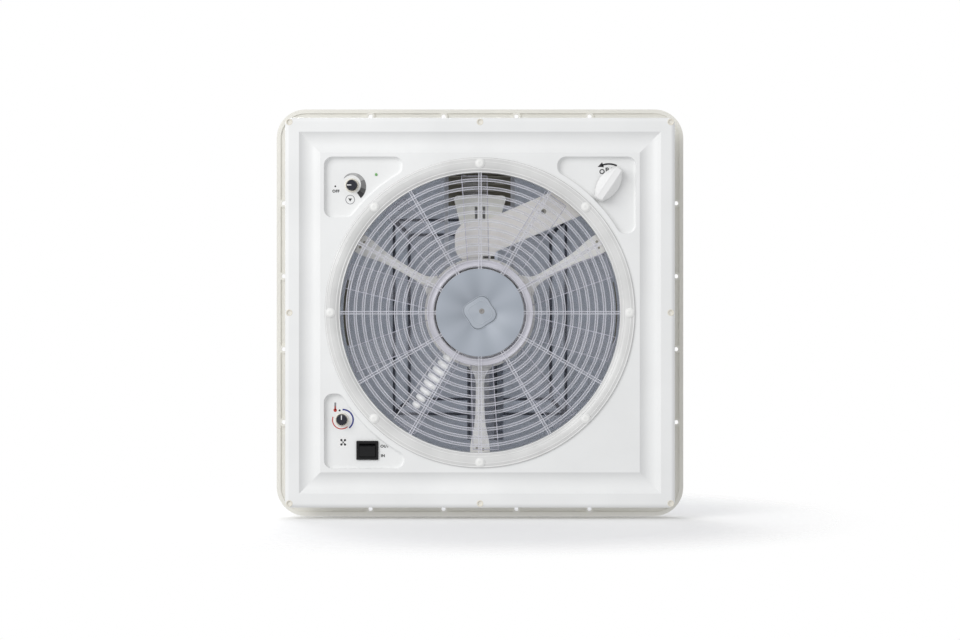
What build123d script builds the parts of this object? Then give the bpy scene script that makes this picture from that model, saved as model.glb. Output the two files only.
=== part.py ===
"""Caravan roof vent with a fan, seen from inside the van it hangs in the roof.

Millimetres. +Z points up out of the roof and z = 0 is the roof's outer face,
the underside of the flange. The origin is the middle of the roof cut-out.
+X is the right and +Y the lower edge of the vent for someone who looks up at it.
"""

from build123d import *
from math import atan, cos, degrees, hypot, pi, radians, sin, sqrt, tan
import os

# Shared values
overrun = 1.0  # how far a cutter runs past what it cuts
seat_gap = 0.3  # air between pieces of different bodies that lie side by side
running_gap = 0.05  # radial clearance of a shaft in its hole
screw_gap = 0.05  # radial clearance of a screw in its pilot hole

# Roof and roof frame
roof_thick = 32.0
flange_side = 466.0
flange_corner = 33.0
flange_thick = 3.2
lip_width = 4.6
bed_depth = 1.4  # recess for sealant behind the flange's lip
screw_row = 225.0
outer_screw = 125.5
inner_screw = 41.8
roof_hole = 2.4
roof_boss = 5.0
coaming_side = 412.0
coaming_corner = 26.0
coaming_wall = 3.0
coaming_height = 34.0
ledge_wall = 5.5  # the coaming below the flyscreen's seat
ledge_height = 29.6
collar_side = 395.0
collar_corner = 18.0
collar_wall = 2.5
collar_drop = 26.0
deck_lap = 1.5  # the deck's hole is this much wider than the duct's bore
skirt_gap = 2.8  # air between the duct and the skirt round it
skirt_wall = 2.2
skirt_drop = 12.0
deck_rib_wall = 2.2
deck_rib_height = 9.0
deck_rib_start = 12.0

# Ceiling frame
trim_side = 440.0
trim_corner = 7.0
trim_depth = 13.0
trim_wall = 2.4
trim_round = 5.0
cove_outer = 204.0
cove_inner = 180.0
cove_depth = 5.5
trim_screw_row = 215.0
trim_hole = 2.0
trim_sink = 3.9
trim_sink_depth = 2.0
duct_radius = 160.0
duct_wall = 2.2
pocket_far = 176.0
pocket_depth = 6.0
pocket_arc = 181.0
pocket_corner = 10.0
pocket_floor_round = 3.0
speed_pocket = (89.0, 69.0)
crank_pocket = (89.0, 87.0)
switch_pocket = (91.0, 85.0)

# Grille
grille_radius = 175.0
grille_face = 2.2
grille_depth = 4.2
grille_bore = 158.0
grille_rings = 11
ring_first = 58.6
ring_pitch = 9.1
ring_width = 1.9
ring_sides = 36
grille_spokes = 12
spoke_width = 2.6
grille_disc = 50.0
grille_hub_inner = 53.5
grille_screw_circle = 168.5
grille_screws_count = 8
grille_boss = 5.2
grille_boss_height = 0.8
screw_head = 3.9
screw_head_height = 2.0
screw_shank = 1.5
screw_length = 9.0
trim_boss = 3.4

# Fan, motor and its support
fan_radius = 155.5
fan_blades = 10
fan_first = -91.4
blade_front = 11.7
blade_back_root = 12.3
blade_back_tip = 17.1
blade_height_root = 23.0
blade_height_tip = 13.0
blade_camber = 2.2
blade_thick = 1.9
hub_radius = 52.0
hub_wall = 2.2
hub_height = 25.0
hub_ribs = 8
hub_rib_wall = 1.8
hub_boss = 9.0
hub_plate_side = 31.0
hub_plate_corner = 9.0
hub_plate_thick = 2.5
fan_front_gap = 3.0  # air between the grille's back and the fan's hub
motor_shaft_radius = 4.0
motor_shaft_above = 3.0
fan_nut_across = 13.0
fan_nut_cap = 1.1
motor_radius = 37.5
motor_wall = 2.0
motor_below = 4.0
motor_height = 25.0
motor_flange = 44.0
motor_flange_thick = 2.0
armature_radius = 30.0
armature_length = 10.0
armature_slots = 10
armature_slot_width = 3.0
armature_slot_depth = 8.0
bearing_radius = 9.0
bearing_width = 5.0
bearing_seat_wall = 2.2
support_ring = 63.5
support_height = 6.0
support_arms = 3
support_first = 90.0
arm_width = 15.0
arm_root_round = 11.0
arm_reach = 177.0
arm_hole_place = 153.0
arm_hole = 2.2
arm_screw_place = 170.0
arm_screw_shank = 1.7

# Flyscreen
screen_gap = 0.4
screen_frame_width = 9.0
screen_frame_height = 3.8
screen_mesh_thick = 0.5
screen_mesh_level = 2.3
screen_port_left = 37.0
screen_port_right = 36.0
screen_port_depth = 55.0  # how near the port comes to the middle
screen_port_rim = 4.0

# Opening drive: crank, drive shaft, worm, wheel and lift arm
crank_x = 145.0
crank_y = -145.0
crank_length = 44.0
crank_width = 24.0
crank_height = 15.0
crank_taper = 2.5
crank_lift = 1.2
crank_angle = -60.0
crank_facet_width = 8.0
spindle_radius = 4.0
spindle_socket = 6.0
spindle_collar = 7.0
spindle_collar_height = 2.5
housing_width = 38.0
housing_wall = 2.0
cover_thick = 1.6
gear_room = 0.6
bevel_radius = 9.0
bevel_teeth = 16
bevel_small_share = 0.55
bevel_add_share = 0.155
bevel_ded_share = 0.2
bevel_hub = 6.0
bevel_hub_height = 1.8
tooth_share = 0.44
flank_share = 0.364
drive_shaft_radius = 3.0
worm_x = -8.0
worm_y = -79.6
worm_pitch_radius = 5.5
worm_shaft = 2.8
worm_length = 16.0
wheel_radius = 16.0
wheel_teeth = 20
wheel_width = 5.0
wheel_add = 1.3
wheel_ded = 1.8
worm_tooth_share = 0.38
wheel_level = 36.0
head_left = 28.8
head_right = 19.6
head_low = -104.0
head_high = -58.4
head_corner = 18.0
bracket_far = 135.0
bracket_near = 95.0
bracket_far_half = 31.0
bracket_near_left = 21.0
bracket_near_right = 19.0
bracket_level = 12.5
bracket_corner = 5.0
bracket_slot_width = 2.6
bracket_slot_length = 14.0
bracket_slot_apart = 9.0
cheek_wall = 2.6
cheek_left = 18.0
cheek_right = 18.2
cheek_half = 10.0
cheek_top = 7.0
arm_shaft_radius = 4.0
turret_radius = 9.2
turret_wall = 1.6
turret_gap = 0.5

lift_x = 6.5
lift_width = 9.0
lift_length = 210.0
lift_start = 8.455  # degrees above level with the dome shut
lift_root_height = 17.0
lift_tip_height = 10.0
lift_web = 3.0
lift_flange = 2.2
rail_pin = 3.0
rail_pin_length = 31.0

# Dome and its hinge
skirt_side = 424.0
skirt_corner = 38.0
skirt_low = 12.0
dome_wall = 2.5
seal_height = 3.5
seal_width = 3.6
seal_place = 206.4
dome_shoulder = 3.0
crown_base = 404.0
crown_top = 372.0
crown_base_corner = 42.0
crown_top_corner = 62.0
dome_height = 92.0
crown_radius = 1300.0
crown_round = 12.0
ridge_length = 229.0
ridge_width = 203.0
ridge_band = 17.5
ridge_height = 5.0
ridge_corner = 20.0
ridge_y = 5.0
hinge_y = -221.0
hinge_level = 16.0
hinge_x = 84.0
hinge_pin = 2.5
hinge_pin_head = 3.8
hinge_pin_head_thick = 1.6
ear_radius = 6.0
ear_wall = 4.0
knuckle_width = 14.0
knuckle_radius = 5.4
rail_level = 67.1
rail_wall = 2.4
rail_gap = 8.0  # air each side of the lift arm between the rail's walls
rail_top_gap = 1.0  # air between the lift arm's tip and the rail's bridge
rail_low = 5.5  # the rail's walls reach this far below the pin
rail_first = 39.0
rail_last = 150.0
rail_slot_end = 116.5
rail_slot_gap = 0.7
rail_foot = 6.0

# Controls
speed_x = -144.6
speed_y = -143.8
thermo_x = -156.0
thermo_y = 120.8
knob_radius = 5.7
knob_height = 8.6
knob_flutes = 12
knob_flute = 0.7
knob_round = 0.8
bezel_radius = 9.0
bezel_gap = 0.5
bezel_height = 2.4
pot_shaft = 3.0
pot_bush = 4.6
pot_radius = 9.5
pot_height = 8.0
thermo_length = 30.0
thermo_width = 26.0
thermo_height = 13.0
lamp_x = -117.2
lamp_y = -155.9
lamp_radius = 1.5
lamp_flange = 2.2
lamp_proud = 0.8
board_left = -176.0
board_right = -111.0
board_low = -173.5
board_high = -130.0
board_thick = 1.6
board_lift = 6.0  # from the pocket's back to the board
cover_height = 19.0
cover_wall = 1.6
rocker_x = -127.2
rocker_y = 155.4
rocker_frame_length = 24.8
rocker_frame_width = 21.4
rocker_frame_proud = 1.8
rocker_frame_wall = 2.0
rocker_body_height = 17.0
rocker_gap = 0.5
rocker_rise = 3.2
rocker_tilt = 8.0
rocker_pivot = 1.5
rocker_pivot_reach = 1.2
rocker_pivot_depth = 3.5
rocker_deep = 4.2
rocker_lean = 1.3  # how far its sides lean in towards its face
terminal_x = 150.0
terminal_y = 150.0
terminal_length = 42.0
terminal_width = 17.0
terminal_height = 15.0
terminal_bore = 2.6
terminal_screw = 2.0
terminal_poles = 3

# Levels that follow
ceiling_level = -roof_thick
front_level = ceiling_level - trim_depth
panel_back = front_level + trim_wall
pocket_level = front_level + pocket_depth
pocket_back = pocket_level + trim_wall
grille_front = front_level - grille_face
grille_back = grille_front + grille_depth
fan_level = grille_back + fan_front_gap
deck_top = flange_thick
support_top = deck_top + support_height
motor_low = deck_top - motor_below
bevel_tip = bevel_radius * (1 + bevel_add_share)
housing_floor = deck_top + housing_wall
shaft_level = housing_floor + gear_room + bevel_tip
cover_level = shaft_level + bevel_tip + gear_room
wheel_x = worm_x
wheel_y = worm_y - worm_pitch_radius - wheel_radius
seal_low = coaming_height
shoulder_level = seal_low + seal_height
drive_dx = worm_x - crank_x
drive_dy = worm_y - crank_y
drive_length = hypot(drive_dx, drive_dy)
drive_turn = degrees(atan(drive_dy / drive_dx)) + 180


def slab(sketch, low, high):
    return Pos(0, 0, low) * extrude(sketch, amount=high - low)


def rod(radius, low, high, x=0, y=0):
    return Pos(x, y, low) * extrude(Circle(radius), amount=high - low)


def tube(outer, inner, low, high, x=0, y=0):
    return Pos(x, y, low) * extrude(Circle(outer) - Circle(inner), amount=high - low)


def block(x0, x1, y0, y1, z0, z1):
    return Pos(x0, y0, z0) * Box(x1 - x0, y1 - y0, z1 - z0, align=(Align.MIN,) * 3)


def rod_x(radius, x0, x1, y, z):
    return Pos(x0, y, z) * (Rot(0, 90, 0) * extrude(Circle(radius), amount=x1 - x0))


def across(piece):
    """Turns a piece made on the XY plane so that it stands on the YZ plane."""
    return Plane.YZ.location * piece


def square(side, corner):
    return RectangleRounded(side, side, corner)


def quarter_turns(piece):
    """A piece and its copies at the other three sides."""
    copies = [Rot(0, 0, 90 * turn) * piece for turn in range(4)]
    return copies[0].fuse(*copies[1:])


def polar(radius, angle):
    return radius * cos(radians(angle)), radius * sin(radians(angle))


def joined(pieces):
    return pieces[0].fuse(*pieces[1:])


def roof_screw_places():
    """Sixteen places, four along each side of the flange."""
    along = (-outer_screw, -inner_screw, inner_screw, outer_screw)
    rows = [(place, side) for place in along for side in (-screw_row, screw_row)]
    return rows + [(y, x) for x, y in rows]


def trim_screw_places():
    row = trim_screw_row
    corners = [(x, y) for x in (-row, row) for y in (-row, row)]
    return corners + [(-row, 0), (row, 0), (0, -row), (0, row)]


def grille_screw_places():
    step = 360 / grille_screws_count
    return [polar(grille_screw_circle, step * i) for i in range(grille_screws_count)]


def roof_frame():
    """Flange, coaming, collar through the roof and the deck that carries the rest."""
    plate = slab(square(flange_side, flange_corner), 0, flange_thick)
    bed_side = flange_side - 2 * lip_width
    bed = square(bed_side, flange_corner - lip_width) - square(collar_side, collar_corner)
    plate -= slab(bed, 0, bed_depth)
    coaming = square(coaming_side, coaming_corner)
    upper = coaming - square(coaming_side - 2 * coaming_wall, coaming_corner - coaming_wall)
    lower = coaming - square(coaming_side - 2 * ledge_wall, coaming_corner - ledge_wall)
    collar_in = square(collar_side - 2 * collar_wall, collar_corner - collar_wall)
    collar = square(collar_side, collar_corner) - collar_in
    frame = plate + slab(upper, deck_top, coaming_height) + slab(lower, deck_top, ledge_height)
    frame += slab(collar, -collar_drop, bed_depth)
    skirt_in = duct_radius + duct_wall + skirt_gap
    frame += tube(skirt_in + skirt_wall, skirt_in, -skirt_drop, bed_depth)
    frame -= rod(duct_radius + deck_lap, -overrun, flange_thick + overrun)
    rib_start = duct_radius + deck_rib_start
    rib_end = coaming_side / sqrt(2) - coaming_corner * (sqrt(2) - 1) - coaming_wall / 2
    rib = block(rib_start, rib_end, -deck_rib_wall / 2, deck_rib_wall / 2,
                deck_top, deck_top + deck_rib_height)
    frame = joined([frame] + [Rot(0, 0, angle) * rib for angle in (45, 135, 225)])
    bosses = [rod(roof_boss, 0, flange_thick, x, y) for x, y in roof_screw_places()]
    frame = frame.fuse(*bosses)
    for side in (-1, 1):
        frame = frame.fuse(*hinge_ears(side * hinge_x))
    holes = [rod(roof_hole, -overrun, flange_thick + overrun, x, y)
             for x, y in roof_screw_places()]
    holes.append(rod(spindle_radius + running_gap, -overrun, flange_thick + overrun,
                     crank_x, crank_y))
    holes += [rod(arm_screw_shank + screw_gap, -overrun, flange_thick + overrun, x, y)
              for x, y in support_screw_places()]
    return frame.cut(*holes)


def hinge_ears(x):
    """Two ears on the flange that hold one hinge pin."""
    ears = []
    for side in (-1, 1):
        inner = x + side * (knuckle_width / 2 + seat_gap)
        outer = inner + side * ear_wall
        low, high = min(inner, outer), max(inner, outer)
        foot = block(low, high, hinge_y - ear_radius, hinge_y + ear_radius,
                     flange_thick - bed_depth, hinge_level)
        ear = foot + rod_x(ear_radius, low, high, hinge_y, hinge_level)
        ears.append(ear - rod_x(hinge_pin, low - overrun, high + overrun, hinge_y, hinge_level))
    return ears


def hinge_pins():
    reach = knuckle_width / 2 + seat_gap + ear_wall
    pins = []
    for x in (-hinge_x, hinge_x):
        pin = rod_x(hinge_pin, x - reach, x + reach, hinge_y, hinge_level)
        for end in (x - reach - hinge_pin_head_thick, x + reach):
            pin += rod_x(hinge_pin_head, end, end + hinge_pin_head_thick, hinge_y, hinge_level)
        pins.append(pin)
    return Compound(children=pins)


def dome_body(inset, low):
    """The dome's outer form, or with an inset the room inside it."""
    base = square(crown_base - 2 * inset, crown_base_corner - inset)
    top = square(crown_top - 2 * inset, crown_top_corner - inset)
    body = loft([Pos(0, 0, low) * base, Pos(0, 0, dome_height) * top], ruled=True)
    cap = Pos(0, 0, dome_height - crown_radius - inset) * Sphere(crown_radius)
    body = body & cap
    top_edges = [edge for edge in body.edges() if edge.center().Z > dome_height / 2
                 and edge.geom_type != GeomType.LINE]
    return fillet(top_edges, crown_round - inset / 2)


def ridge(inset, rise):
    """The raised frame on the dome's top, as a band of the crown pushed outwards."""
    outer = RectangleRounded(ridge_width - 2 * inset, ridge_length - 2 * inset,
                             ridge_corner - inset)
    shrink = 2 * (ridge_band - inset)
    inner = RectangleRounded(ridge_width - shrink, ridge_length - shrink,
                             ridge_corner - ridge_band + inset + overrun)
    band = Pos(0, ridge_y, 0) * slab(outer - inner, dome_height / 2, dome_height + ridge_height)
    cap = Pos(0, 0, dome_height - crown_radius + rise) * Sphere(crown_radius)
    return band & cap


def dome():
    skirt_top = shoulder_level + dome_wall
    skirt = slab(square(skirt_side, skirt_corner), skirt_low, skirt_top)
    skirt = fillet(skirt.faces().sort_by(Axis.Z)[-1].edges(), dome_shoulder)
    body = skirt + dome_body(0, shoulder_level) + ridge(0, ridge_height)
    room = slab(square(skirt_side - 2 * dome_wall, skirt_corner - dome_wall),
                skirt_low - overrun, shoulder_level)
    crown_room = dome_body(dome_wall, shoulder_level - overrun)
    shell = body - room - crown_room - ridge(dome_wall, ridge_height - dome_wall)
    for x in (-hinge_x, hinge_x):
        half = knuckle_width / 2
        arm = block(x - half, x + half, hinge_y, -skirt_side / 2 + dome_wall / 2,
                    skirt_low, hinge_level + knuckle_radius)
        knuckle = arm + rod_x(knuckle_radius, x - half, x + half, hinge_y, hinge_level)
        shell += knuckle
        shell -= rod_x(hinge_pin + running_gap, x - half - overrun, x + half + overrun,
                       hinge_y, hinge_level)
    return shell


def dome_seal():
    inner = seal_place - seal_width
    ring = square(2 * seal_place, coaming_corner) - square(2 * inner, coaming_corner - seal_width)
    return slab(ring, seal_low, shoulder_level)


def dome_rail():
    """Two slotted walls under the dome; the lift arm's pin slides in their slots."""
    half = lift_width / 2 + rail_gap
    top = dome_height
    pieces = []
    for side in (-1, 1):
        inner = lift_x + side * half
        outer = inner + side * rail_wall
        low, high = min(inner, outer), max(inner, outer)
        wall = block(low, high, rail_first, rail_last, rail_level - rail_low, top)
        foot_out = outer + side * rail_foot
        foot = block(min(outer, foot_out), max(outer, foot_out), rail_first, rail_last,
                     rail_level + rail_low, top)
        pieces += [wall, foot]
    bridge = block(lift_x - half, lift_x + half, rail_first, rail_last,
                   rail_level + lift_tip_height / 2 + rail_top_gap, top)
    rail = joined(pieces + [bridge])
    slot_radius = rail_pin + rail_slot_gap
    slot_start = rail_first + rail_low + rail_slot_gap
    slot_end = rail_slot_end - rail_low - rail_slot_gap
    slot = block(lift_x - rail_pin_length, lift_x + rail_pin_length, slot_start, slot_end,
                 rail_level - slot_radius, rail_level + slot_radius)
    for y in (slot_start, slot_end):
        slot += rod_x(slot_radius, lift_x - rail_pin_length, lift_x + rail_pin_length,
                      y, rail_level)
    rail -= slot
    return rail & dome_room_below_crown()


def dome_room_below_crown():
    """The crown's inner face, which trims the rail's foot to fit it."""
    return Pos(0, 0, dome_height - crown_radius - dome_wall) * Sphere(crown_radius)


def screen_port(grow):
    """The cut-out that the opening drive passes through."""
    far = coaming_side / 2
    opening = Rectangle(screen_port_left + screen_port_right + 2 * grow,
                        far - screen_port_depth + grow, align=(Align.MIN, Align.MIN))
    return Pos(-screen_port_left - grow, -far) * opening


def flyscreen_frame():
    side = coaming_side - 2 * coaming_wall - 2 * screen_gap
    corner = coaming_corner - coaming_wall - screen_gap
    outer = square(side, corner)
    inner = square(side - 2 * screen_frame_width, corner - screen_frame_width)
    rim = (screen_port(screen_port_rim) - screen_port(0)) & outer
    return slab(outer - inner + rim, ledge_height, ledge_height + screen_frame_height)


def flyscreen_mesh():
    side = coaming_side - 2 * (coaming_wall + screen_gap + screen_frame_width)
    corner = coaming_corner - coaming_wall - screen_gap - screen_frame_width
    sheet = square(side, corner) - screen_port(screen_port_rim)
    low = ledge_height + screen_mesh_level
    return slab(sheet, low, low + screen_mesh_thick)


def cove():
    """Cutter for the hollow moulding round the panel, mitred at the corners."""
    half_width = (cove_outer - cove_inner) / 2
    middle = (cove_outer + cove_inner) / 2
    radius = (half_width ** 2 + cove_depth ** 2) / (2 * cove_depth)
    centre = front_level + cove_depth - radius
    reach = cove_outer + overrun
    bar = Pos(-reach, middle, centre) * (Rot(0, 90, 0) * extrude(Circle(radius),
                                                                amount=2 * reach))
    wedge = slab(make_face(Polyline((0, 0), (reach, reach), (-reach, reach), close=True)),
                 front_level - radius * 2, front_level + radius * 2)
    return quarter_turns(bar & wedge)


def pocket_plan(size, x_side, y_side, inset):
    """A corner pocket: two straight sides, and one that follows the grille's arc."""
    length, width = size
    far = pocket_far - inset
    plan = Pos(far, far) * Rectangle(length - 2 * inset, width - 2 * inset,
                                     align=(Align.MAX, Align.MAX))
    plan -= Circle(pocket_arc + inset)
    plan = fillet(plan.vertices(), pocket_corner - inset)
    if x_side < 0:
        plan = mirror(plan, Plane.YZ)
    if y_side < 0:
        plan = mirror(plan, Plane.XZ)
    return plan


def pockets():
    return ((speed_pocket, -1, -1), (crank_pocket, 1, -1), (switch_pocket, -1, 1))


def ceiling_frame():
    """The trim seen from inside: rounded edge, cove, panel, pockets and duct."""
    trim = slab(square(trim_side, trim_corner), front_level, ceiling_level)
    trim = fillet(trim.faces().sort_by(Axis.Z)[0].edges(), trim_round)
    cove_back = front_level + cove_depth + trim_wall
    rim_room = square(trim_side - 2 * trim_wall, trim_corner - trim_wall)
    rim_room -= square(2 * (cove_outer + trim_wall), trim_corner - trim_wall)
    panel_room = square(2 * (cove_inner - trim_wall), trim_corner - trim_wall)
    trim -= slab(rim_room, panel_back, ceiling_level + overrun)
    trim -= slab(panel_room, panel_back, ceiling_level + overrun)
    trim -= slab(square(2 * (cove_outer + 2 * trim_wall), trim_corner), cove_back,
                 ceiling_level + overrun)
    trim -= cove()
    tubs = [slab(pocket_plan(size, i, j, -trim_wall), panel_back - trim_wall / 2, pocket_back)
            for size, i, j in pockets()]
    tub_room = slab(square(2 * cove_inner, trim_corner), front_level, ceiling_level)
    trim = trim.fuse(*[tub & tub_room for tub in tubs])
    trim = trim.cut(*[pocket_cutter(size, i, j) for size, i, j in pockets()])
    bosses = [rod(trim_sink + trim_wall / 2, front_level + trim_sink_depth, ceiling_level, x, y)
              for x, y in trim_screw_places()]
    room = slab(square(trim_side - trim_wall, trim_corner - trim_wall / 2),
                front_level, ceiling_level)
    trim = trim.fuse(*[boss & room for boss in bosses])
    outer = duct_radius + duct_wall
    trim += tube(outer, duct_radius, panel_back - trim_wall / 2, 0)
    grille_bosses = [rod(trim_boss, panel_back - trim_wall / 2,
                         grille_front + screw_length + trim_wall, x, y)
                     for x, y in grille_screw_places()]
    trim = trim.fuse(*grille_bosses)
    trim -= rod(duct_radius, front_level - overrun, overrun)
    holes = []
    for x, y in trim_screw_places():
        holes.append(rod(trim_hole, front_level - overrun, ceiling_level + overrun, x, y))
        sink = Cone(trim_sink, trim_hole, trim_sink_depth,
                    align=(Align.CENTER, Align.CENTER, Align.MIN))
        holes.append(Pos(x, y, front_level) * sink)
    holes += [rod(screw_shank + screw_gap, front_level - overrun,
                  grille_front + screw_length, x, y) for x, y in grille_screw_places()]
    holes += [rod(pot_bush + screw_gap, pocket_level - overrun, pocket_back + overrun, x, y)
              for x, y in ((speed_x, speed_y), (thermo_x, thermo_y))]
    holes.append(rod(lamp_radius + screw_gap, pocket_level - overrun, pocket_back + overrun,
                     lamp_x, lamp_y))
    holes.append(rod(spindle_radius + running_gap, pocket_level - overrun,
                     pocket_back + overrun, crank_x, crank_y))
    body_length, body_width = rocker_body_size()
    holes.append(block(rocker_x - body_length / 2, rocker_x + body_length / 2,
                       rocker_y - body_width / 2, rocker_y + body_width / 2,
                       pocket_level - overrun, pocket_back + overrun))
    return trim.cut(*holes)


def pocket_cutter(size, x_side, y_side):
    """The pocket's room with a round floor edge and a round, widening mouth."""
    room = slab(pocket_plan(size, x_side, y_side, 0), front_level - overrun, pocket_level)
    return fillet(room.faces().sort_by(Axis.Z)[-1].edges(), pocket_floor_round)


def grille():
    """Clear guard: spokes and rings in one sheet, a thin outer ring and a middle disc."""
    bars = Circle(grille_disc) + (Circle(ring_first + ring_width / 2) - Circle(grille_hub_inner))
    for i in range(1, grille_rings):
        middle = ring_first + ring_pitch * i
        bars += (RegularPolygon(middle + ring_width / 2, ring_sides)
                 - RegularPolygon(middle - ring_width / 2, ring_sides))
    reach = grille_bore + ring_width / 2
    middle_turn = 180 / ring_sides
    bars = Rot(0, 0, middle_turn) * bars
    for i in range(grille_spokes):
        bar = Rectangle(reach - grille_disc + spoke_width, spoke_width,
                        align=(Align.MIN, Align.CENTER))
        bars += Rot(0, 0, 360 / grille_spokes * i) * (Pos(grille_disc - spoke_width, 0) * bar)
    guard = slab(bars, grille_front, grille_back)
    guard += tube(grille_bore + ring_width, grille_bore, grille_front, grille_back)
    guard += tube(grille_radius, grille_bore, grille_front, front_level)
    guard = guard.fuse(*[rod(grille_boss, grille_front - grille_boss_height, front_level, x, y)
                         for x, y in grille_screw_places()])
    return guard.cut(*[rod(screw_shank + screw_gap, grille_front - 2 * overrun,
                           front_level + overrun, x, y) for x, y in grille_screw_places()])


def grille_screws():
    low = grille_front - grille_boss_height
    screws = [rod(screw_head, low - screw_head_height, low, x, y)
              + rod(screw_shank, low - screw_head_height / 2,
                    grille_front + screw_length - overrun, x, y)
              for x, y in grille_screw_places()]
    return Compound(children=screws)


def blade_section(radius, back, height):
    """One cambered section of a blade, across the radius."""
    middle = fan_level + hub_height / 2
    low, high = middle - height / 2, middle + height / 2
    chord = hypot(blade_front + back, height)
    lean_t, lean_z = height / chord, (blade_front + back) / chord
    half = blade_thick / 2

    def point(share, off):
        along = -back + (blade_front + back) * share
        up = low + (high - low) * share
        return along - lean_t * off, up + lean_z * off

    bulge = blade_camber
    lower = ThreePointArc(point(0, -half), point(0.5, bulge - half), point(1, -half))
    upper = ThreePointArc(point(1, half), point(0.5, bulge + half), point(0, half))
    wire = [lower, Line(lower @ 1, upper @ 0), upper, Line(upper @ 1, lower @ 0)]
    plane = Plane(origin=(radius, 0, 0), x_dir=(0, 1, 0), z_dir=(1, 0, 0))
    return plane * make_face(wire)


def fan_rotor():
    """Clear fan: ten cambered, twisted blades on a cup-shaped hub with ribs."""
    top = fan_level + hub_height
    hub = rod(hub_radius, fan_level, top) - rod(hub_radius - hub_wall, fan_level + hub_wall,
                                                top + overrun)
    root = hub_radius - 2 * hub_wall
    blade = loft([blade_section(root, blade_back_root, blade_height_root),
                  blade_section((root + fan_radius) / 2,
                                (blade_back_root + blade_back_tip) / 2,
                                (blade_height_root + blade_height_tip) / 2),
                  blade_section(fan_radius, blade_back_tip, blade_height_tip)])
    blade -= rod(hub_radius - hub_wall, fan_level - overrun, top + overrun)
    step = 360 / fan_blades
    blades = [Rot(0, 0, fan_first + step * i) * blade for i in range(fan_blades)]
    rotor = hub.fuse(*blades)
    plate = RectangleRounded(hub_plate_side, hub_plate_side, hub_plate_corner)
    rotor += slab(plate, fan_level + hub_wall, fan_level + hub_wall + hub_plate_thick)
    rib_top = top - hub_wall
    rib = block(0, hub_radius - hub_wall / 2, -hub_rib_wall / 2, hub_rib_wall / 2,
                fan_level + hub_wall / 2, rib_top)
    turn = 360 / hub_ribs
    rotor = rotor.fuse(*[Rot(0, 0, turn * (i + 0.5)) * rib for i in range(hub_ribs)])
    rotor += rod(hub_boss, fan_level, rib_top)
    return rotor - rod(motor_shaft_radius, fan_level - overrun, top + overrun)


def motor_shaft():
    low = fan_level - fan_front_gap + seat_gap + fan_nut_cap
    return rod(motor_shaft_radius, low, motor_low + motor_height + motor_shaft_above)


def fan_nut():
    """Nut under the hub, clear of the grille's disc."""
    low = fan_level - fan_front_gap + seat_gap
    nut = slab(RegularPolygon(fan_nut_across / sqrt(3), 6), low, fan_level)
    return nut - rod(motor_shaft_radius, low + fan_nut_cap, fan_level + overrun)


def support_screw_places():
    step = 360 / support_arms
    return [polar(arm_screw_place, support_first + step * i) for i in range(support_arms)]


def motor_support():
    """White spider over the fan: a ring for the motor and three arms to the deck."""
    step = 360 / support_arms
    plan = Circle(support_ring)
    for i in range(support_arms):
        bar = Rectangle(arm_reach, arm_width, align=(Align.MIN, Align.CENTER))
        plan += Rot(0, 0, support_first + step * i) * bar
    inner = [v for v in plan.vertices() if hypot(v.X, v.Y) < support_ring + overrun]
    plan = fillet(inner, arm_root_round)
    plan -= Circle(motor_radius + screw_gap)
    spider = slab(plan, deck_top, support_top)
    groove = Rectangle(arm_reach - support_ring - arm_root_round - 2 * arm_width,
                       arm_width - 4 * hub_wall, align=(Align.MIN, Align.CENTER))
    start = support_ring + arm_root_round
    for i in range(support_arms):
        turn = Rot(0, 0, support_first + step * i)
        spider -= turn * slab(Pos(start, 0) * groove, deck_top + hub_wall, support_top + overrun)
        x, y = polar(arm_hole_place, support_first + step * i)
        spider -= rod(arm_hole, deck_top - overrun, support_top + overrun, x, y)
    for x, y in support_screw_places():
        spider -= rod(arm_screw_shank + screw_gap, deck_top - overrun, support_top + overrun,
                      x, y)
    return spider


def support_screws():
    screws = [rod(screw_head, support_top, support_top + screw_head_height, x, y)
              + rod(arm_screw_shank, 0, support_top + screw_head_height / 2, x, y)
              for x, y in support_screw_places()]
    return Compound(children=screws)


def motor_can():
    """Pressed cup with a flange that stands on the spider's ring."""
    top = motor_low + motor_height
    can = rod(motor_radius, motor_low, top)
    can += rod(motor_flange, support_top, support_top + motor_flange_thick)
    can -= rod(motor_radius - motor_wall, motor_low + motor_wall, top - motor_wall)
    seat = bearing_radius + bearing_seat_wall
    can += tube(seat, bearing_radius, top - motor_wall - bearing_width, top - motor_wall)
    can += tube(seat, bearing_radius, motor_low + motor_wall,
                motor_low + motor_wall + bearing_width)
    return can - rod(motor_shaft_radius + seat_gap, motor_low - overrun, top + overrun)


def motor_bearings():
    levels = (motor_low + motor_wall, motor_low + motor_height - motor_wall - bearing_width)
    return Compound(children=[tube(bearing_radius, motor_shaft_radius + running_gap, level,
                                   level + bearing_width) for level in levels])


def motor_armature():
    middle = motor_low + motor_height / 2
    low = middle - armature_length / 2
    plan = Circle(armature_radius)
    slot = Rectangle(armature_slot_depth + overrun, armature_slot_width,
                     align=(Align.MAX, Align.CENTER))
    step = 360 / armature_slots
    for i in range(armature_slots):
        plan -= Rot(0, 0, step * i) * (Pos(armature_radius + overrun, 0) * slot)
    return slab(plan - Circle(motor_shaft_radius), low, low + armature_length)


def gear_outline(teeth, root, pitch, tip, pitch_half, slope):
    """Closed outline of straight-flanked teeth; the first tooth lies on +X."""
    tip_half = pitch_half - slope * (tip - pitch)
    root_half = pitch_half + slope * (pitch - root)
    points = []
    for i in range(teeth):
        middle = 360 / teeth * i
        for radius, half in ((root, -root_half), (tip, -tip_half), (tip, tip_half),
                             (root, root_half)):
            points.append(polar(radius, middle + degrees(half / radius)))
    return make_face(Polyline(*points, close=True))


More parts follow.
